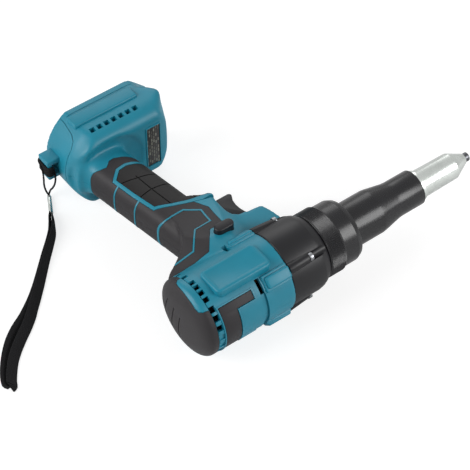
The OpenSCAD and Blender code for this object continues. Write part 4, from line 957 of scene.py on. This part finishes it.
class RIVET_OT_barrel_trim(bpy.types.Operator):
    """Builds the rear cap, the band on top of the barrel and the plate on the foot"""
    bl_idname = "rivet.barrel_trim"
    bl_label = "Cap, top band and plate"

    def execute(self, context):
        cap = turned(cap_profile() + [(SHELL_REAR, 29.6), (3, 24), (3, 0)], steps=128)
        left = prism(grown(TONGUE, 0.3), 10, 40)
        right = flipped(left)
        cap = carve(cap, "DIFFERENCE", left, right, *cap_grooves())
        finish(crowned(cap), "rubber_rear_cap", "tool", "grey_rubber", "rear_cap")
        band = soften(top_band_form(32.7, 31.2, 0), 0.25, segments=2, angle=40)
        finish(crowned(band), "rubber_top_band", "tool", "grey_rubber", "barrel_top_band")
        plate = soften(box(81, 93.2, 161.7, 162.7, -21.7, 21.7), 0.2, segments=2)
        finish(plate, "blank_plate", "tool", "plate_film", "rating_plate")
        return {"FINISHED"}


class RIVET_OT_front(bpy.types.Operator):
    """Builds the gear housing, the knurled lock ring, the nose housing, the nozzle and the nosepiece"""
    bl_idname = "rivet.front"
    bl_label = "Metal front"

    def execute(self, context):
        sizes = context.scene.rivet_sizes
        finish(self.gear_housing(sizes), "painted_gear_housing", "tool", "black_alloy", "gear_housing")
        finish(self.lock_ring(sizes), "knurled_lock_ring", "lock_ring", "black_metal", "lock_ring")
        nose = turned([(THREAD_FRONT, 12.4), (THREAD_FRONT, 22), (150.6, 22), (150.6, 18.8), (182, 18.8),
                       (186, 18.2), (200, 15.5), (204, 15.1), (NOSE_FRONT, 15.1), (NOSE_FRONT, 10.8)],
                      closed=True)
        # The nose shines as the ring does, more than the gear housing
        finish(soften(nose, sizes.edge, angle=8), "painted_nose_housing", "nose_unit", "black_alloy",
               "nose_housing", coat="black_metal")
        sleeve = turned([(NOSE_FRONT, 10.4), (NOSE_FRONT, 13), (229.6, 13), (229.6, 11.8), (CONE_REAR, 11.3),
                         (CONE_FRONT, 4.4), (CONE_FRONT, 3.1), (266, 3.1), (266, 10.4)], closed=True)
        finish(soften(sleeve, sizes.edge, angle=8), "turned_nozzle_sleeve", "nose_unit", "bright_steel",
               "nozzle_sleeve")
        tip = turned([(TIP_REAR, 1.6), (TIP_REAR, 3), (CONE_FRONT, 3), (CONE_FRONT, 3.8), (TOOL_FRONT, 3.8),
                      (TOOL_FRONT, 1.6)], closed=True, steps=64)
        finish(soften(tip, 0.35, angle=20), "turned_nosepiece", "nosepiece", "steel", "nosepiece",
               coat="tip_steel")
        return {"FINISHED"}

    def gear_housing(self, sizes):
        """The housing with its room for the gears, the nut's key way and the bars of the long screws."""
        wall_rear, wall_front = 118.48, 122.48
        outside = [(78, 29), (81.1, 29), (81.1, 31), (82, 32), (108.4, 32), (112.7, 31.3), (116.2, 29.8),
                   (118.7, 28.2), (GEAR_FRONT, 27), (GEAR_FRONT, 22), (THREAD_FRONT, 22)]
        room = [(THREAD_FRONT, 12.4), (wall_front, 12.4), (wall_front, 8), (wall_rear, 8),
                (wall_rear, 14.05), (112.4, 14.05), (112.4, 19.4), (105.4, 19.4), (105.4, 27.05),
                (78, 27.05)]
        gear = soften(turned(outside + room, closed=True, steps=128), sizes.edge, angle=12)
        gear = carve(gear, "DIFFERENCE", box(wall_front, 140, 0, 14.8, -2.4, 2.4))
        gear = carve(gear, "UNION", *screw_lugs(81.2, 102.8, 4.4, fall=0.085))
        pockets = screw_lugs(102.8, 122, 3.6)
        shanks = screw_lugs(60, 102, 1.8)
        heads = screw_lugs(100.9, 104, 3.2)
        return carve(gear, "DIFFERENCE", *pockets, *shanks, *heads)

    def lock_ring(self, sizes):
        """The ring with a field of small points on its rear part."""
        rows = 11
        count = sizes.knurl_count
        knurl_end = RING_REAR + 16
        profile = [(RING_REAR, 19.2), (RING_REAR, 26.4), (RING_REAR + 0.8, 27.2), (knurl_end - 0.8, 27.2),
                   (knurl_end, 26.5), (149, 26.4), (153.3, 24.6), (RING_FRONT, 20.5), (RING_FRONT, 19.2)]
        ring = soften(turned(profile, closed=True, steps=count), 0.3, segments=2, angle=12)
        start, end = RING_REAR + 1.4, knurl_end - 1.2
        field = turned([(start + (end - start) * i / rows, 27.45) for i in range(rows + 1)]
                       + [(end, 26), (start, 26)], closed=True, steps=count)
        outer = [f for f in field.faces if f.calc_center_median().yz.length > 27.2]
        bmesh.ops.poke(field, faces=outer, offset=0.55, center_mode="MEAN")
        return gather([ring, field])


class RIVET_OT_controls(bpy.types.Operator):
    """Builds the trigger, with a pocket for its spring, and the direction button"""
    bl_idname = "rivet.controls"
    bl_label = "Trigger and button"

    def execute(self, context):
        trigger = soften(prism(TRIGGER_SIDE, -9, 9), 1.5, segments=4, angle=60)
        line = Matrix.Translation((0, PLUNGER_Y, 0))
        trigger = carve(trigger, "DIFFERENCE", moved(rod(70, 85.6, 6, steps=40), line))
        trigger = carve(trigger, "UNION", moved(rod(60, 87, 3, steps=40), line))
        finish(trigger, "trigger_lever", "trigger", "black_plastic", "trigger")
        button = soften(button_bar(0, -24.7, 30.7), 1.4, segments=4, angle=50)
        finish(button, "direction_bar", "direction_button", "black_plastic", "direction_button")
        return {"FINISHED"}


# Wrist strap

def curve_piece(name, points, setup, replaces=(), radii=None, tilts=None):
    """A strap piece along a line of points in the tool's axes; returns it with its length in metres."""
    data = bpy.data.curves.new(name, "CURVE")
    data.dimensions = "3D"
    data.twist_mode = "Z_UP"
    spline = data.splines.new("POLY")
    spots = [TO_ROW @ Vector(p) for p in points]
    spline.points.add(len(spots) - 1)
    for i, spot in enumerate(spots):
        spline.points[i].co = (*spot, 1)
        spline.points[i].radius = radii[i] if radii else 1.0
        spline.points[i].tilt = tilts[i] if tilts else 0.0
    setup(data)
    data.materials.append(finish_of("strap_fabric"))
    piece = shown(name, data)
    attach(piece, "tool")
    if replaces:
        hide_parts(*replaces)
    return piece, sum((b - a).length for a, b in zip(spots, spots[1:]))


def thin(data):
    """Gives a curve the round section of the cord."""
    data.bevel_depth = CORD_WIDE / 2000
    data.bevel_resolution = 4
    data.use_fill_caps = True


def flat(data):
    """Gives a curve the flat section of the band."""
    data.extrude = (BAND_WIDE / 2 - BAND_EDGE) / 1000
    data.bevel_depth = BAND_EDGE / 1000
    data.bevel_resolution = 1


def hitch_line():
    """Turns of the cord round the post of the eye, from its left end to its right."""
    turns, corners = 5, 16
    reach = 5.2
    line = []
    for i in range(turns * corners + 1):
        x, y = squared(math.tau * i / corners, 2.8, 7.0, 0.5)
        line.append((4.3 + x, 194 + y, reach - 2 * reach * i / (turns * corners)))
    return line


class RIVET_OT_strap(bpy.types.Operator):
    """Builds the wrist strap: thin cord hitched to the eye, crimp, and two strands of webbing"""
    bl_idname = "rivet.strap"
    bl_label = "Wrist strap"

    def execute(self, context):
        along = (CRIMP_TO - CRIMP_FROM).normalized()
        across = Vector((0, 0, 1)).cross(along)
        crimp = soften(rod(0, (CRIMP_TO - CRIMP_FROM).length, CRIMP_R, steps=40), 0.4)
        place = Matrix.Translation(CRIMP_FROM) @ along.to_track_quat("X", "Z").to_matrix().to_4x4()
        crimp = finish(moved(crimp, place), "crimp_sleeve", "tool", "bright_steel", "strap_crimp")
        ends = [CRIMP_FROM + across * 0.85, CRIMP_FROM - across * 0.85]
        route = flowing([ends[0]] + CORD_ROUTE + [ends[1]], 4)
        cord, length = curve_piece("strap_thin_cord", route, thin, ["strap_cord"])
        curve_piece("strap_cord_hitch", hitch_line(), thin)
        left_start = tuple((CRIMP_TO - across * 0.7)[:2])
        right_end = tuple((CRIMP_TO + across * 0.7)[:2])
        self.strand("strap_webbing_left", [left_start] + LEFT_ROUTE + RIGHT_ROUTE[:2], "bare", 1,
                    ["strap_webbing"])
        self.strand("strap_webbing_right", RIGHT_ROUTE[1:] + [right_end], "object", -1, [])
        return {"FINISHED"}

    def strand(self, name, route, far_end, side, replaces):
        """One strand of the flat band, narrow in the crimp and standing on its edge, leaning further out."""
        line = flowing(route, 3)
        radii = []
        points = []
        tilts = []
        for i, (x, y) in enumerate(line):
            away = i if side > 0 else len(line) - 1 - i
            share = min(1.0, 0.48 + away / 15)
            lean = min(1.0, 0.25 + max(0.0, (away - 6) / 26)) * 0.95
            radii.append(share)
            tilts.append(lean * side)
            points.append((x, y, FLOOR + (BAND_WIDE / 2 * math.cos(lean) + 0.5) * share))
        piece, length = curve_piece(name, points, flat, replaces, radii, tilts)


class RIVET_OT_inner(bpy.types.Operator):
    """Gives the CAD parts that stay in view their edges and finishes"""
    bl_idname = "rivet.inner"
    bl_label = "Inner parts"

    def execute(self, context):
        slots = {part["node"]: part["material_slot"] for part in frame["record"]["subparts"]}
        for name, node in frame["nodes"].items():
            if node.hide_render:
                continue
            node.data.materials.clear()
            node.data.materials.append(finish_of(slots[name]))
            weld = node.modifiers.new("weld", "WELD")
            weld.merge_threshold = 0.00001
            edge = node.modifiers.new("edge", "BEVEL")
            edge.width = 0.00015
            edge.segments = 2
            edge.limit_method = "ANGLE"
            edge.angle_limit = math.radians(35)
        return {"FINISHED"}


class RIVET_OT_stage(bpy.types.Operator):
    """Sets the camera, the lamps, the white room and the pale floor"""
    bl_idname = "rivet.stage"
    bl_label = "Camera, lamps and floor"

    def execute(self, context):
        scene = context.scene
        scene.view_settings.view_transform = "Standard"
        lens = bpy.data.cameras.new("camera")
        lens.lens = LENS
        lens.sensor_width = 36
        camera = shown("camera", lens)
        turn = Matrix((CAMERA_RIGHT, CAMERA_UP, CAMERA_BACK)).transposed().to_4x4()
        camera.matrix_world = Matrix.Translation(CAMERA_AT) @ turn
        scene.camera = camera
        self.floor()
        for lamp in LAMPS:
            self.lamp(*lamp)
        self.room(scene)
        return {"FINISHED"}

    def floor(self):
        """A pale floor that stays white in the picture and keeps a soft shadow."""
        form = bmesh.new()
        bmesh.ops.create_grid(form, x_segments=1, y_segments=1, size=4)
        floor = shown("floor", mesh_of(form, "floor"))
        paint, tree, shader = blank("White floor paint", Base_Color=(0.9, 0.9, 0.9, 1), Roughness=0.9,
                                    Specular_IOR_Level=0.0)
        pale = add(tree, "ShaderNodeBsdfDiffuse", Color=(0.4, 0.4, 0.4, 1))
        glow = add(tree, "ShaderNodeEmission", Color=(1, 1, 1, 1), Strength=0.75)
        both = add(tree, "ShaderNodeAddShader", [(pale.outputs["BSDF"], 0), (glow.outputs["Emission"], 1)])
        path = add(tree, "ShaderNodeLightPath")
        mix = add(tree, "ShaderNodeMixShader", [(path.outputs["Is Camera Ray"], "Fac"),
                                                (shader.outputs["BSDF"], 1), (both.outputs["Shader"], 2)])
        tree.links.new(mix.outputs["Shader"], tree.nodes["Material Output"].inputs["Surface"])
        floor.data.materials.append(paint)
        floor.location.z = -0.0002

    def lamp(self, name, place, size, power):
        """A soft square lamp that looks at the tool."""
        data = bpy.data.lights.new(name, "AREA")
        data.size = size
        data.energy = power
        lamp = shown(name, data)
        lamp.location = place
        lamp.rotation_euler = (Vector((0, 0, 0.03)) - Vector(place)).to_track_quat("-Z", "Y").to_euler()

    def room(self, scene):
        """A white room: weak as a light, brighter in the tool's shine, and white in the picture."""
        light, shine = 0.2, 0.5
        world = bpy.data.worlds.new("white room")
        scene.world = world
        world.use_nodes = True
        tree = world.node_tree
        wall = tree.nodes["Background"]
        wall.inputs["Color"].default_value = (1, 1, 1, 1)
        path = add(tree, "ShaderNodeLightPath")
        level = add(tree, "ShaderNodeMath", [(path.outputs["Is Glossy Ray"], 0)], operation="MULTIPLY_ADD")
        level.inputs[1].default_value = shine
        level.inputs[2].default_value = light
        seen = add(tree, "ShaderNodeMath", [(path.outputs["Is Camera Ray"], 0), (level.outputs["Value"], 1)],
                   operation="MAXIMUM")
        tree.links.new(seen.outputs["Value"], wall.inputs["Strength"])


class RIVET_PT_panel(bpy.types.Panel):
    """Sizes, colours and build buttons of the tool"""
    bl_label = "Rivet tool"
    bl_idname = "RIVET_PT_panel"
    bl_space_type = "VIEW_3D"
    bl_region_type = "UI"
    bl_category = "Rivet tool"

    def draw(self, context):
        for group in (context.scene.rivet_sizes, context.scene.rivet_colours):
            for name in group.__annotations__:
                self.layout.prop(group, name)
        for operator in OPERATORS:
            self.layout.operator(operator.bl_idname)


OPERATORS = [RIVET_OT_stage, RIVET_OT_strap, RIVET_OT_shells, RIVET_OT_barrel_trim, RIVET_OT_front,
             RIVET_OT_controls, RIVET_OT_inner]
CLASSES = [RivetToolSizes, RivetToolColours] + OPERATORS + [RIVET_PT_panel]


def register():
    """Adds the classes and the scene's settings."""
    for item in CLASSES:
        bpy.utils.register_class(item)
    bpy.types.Scene.rivet_sizes = bpy.props.PointerProperty(type=RivetToolSizes)
    bpy.types.Scene.rivet_colours = bpy.props.PointerProperty(type=RivetToolColours)


def unregister():
    """Takes the classes and settings away again."""
    del bpy.types.Scene.rivet_colours
    del bpy.types.Scene.rivet_sizes
    for item in reversed(CLASSES):
        bpy.utils.unregister_class(item)


def main():
    """Builds the whole picture."""
    register()
    bpy.ops.rivet.stage()
    bpy.ops.rivet.strap()
    bpy.ops.rivet.shells()
    bpy.ops.rivet.barrel_trim()
    bpy.ops.rivet.front()
    bpy.ops.rivet.controls()
    bpy.ops.rivet.inner()


if __name__ == "__main__":
    main()
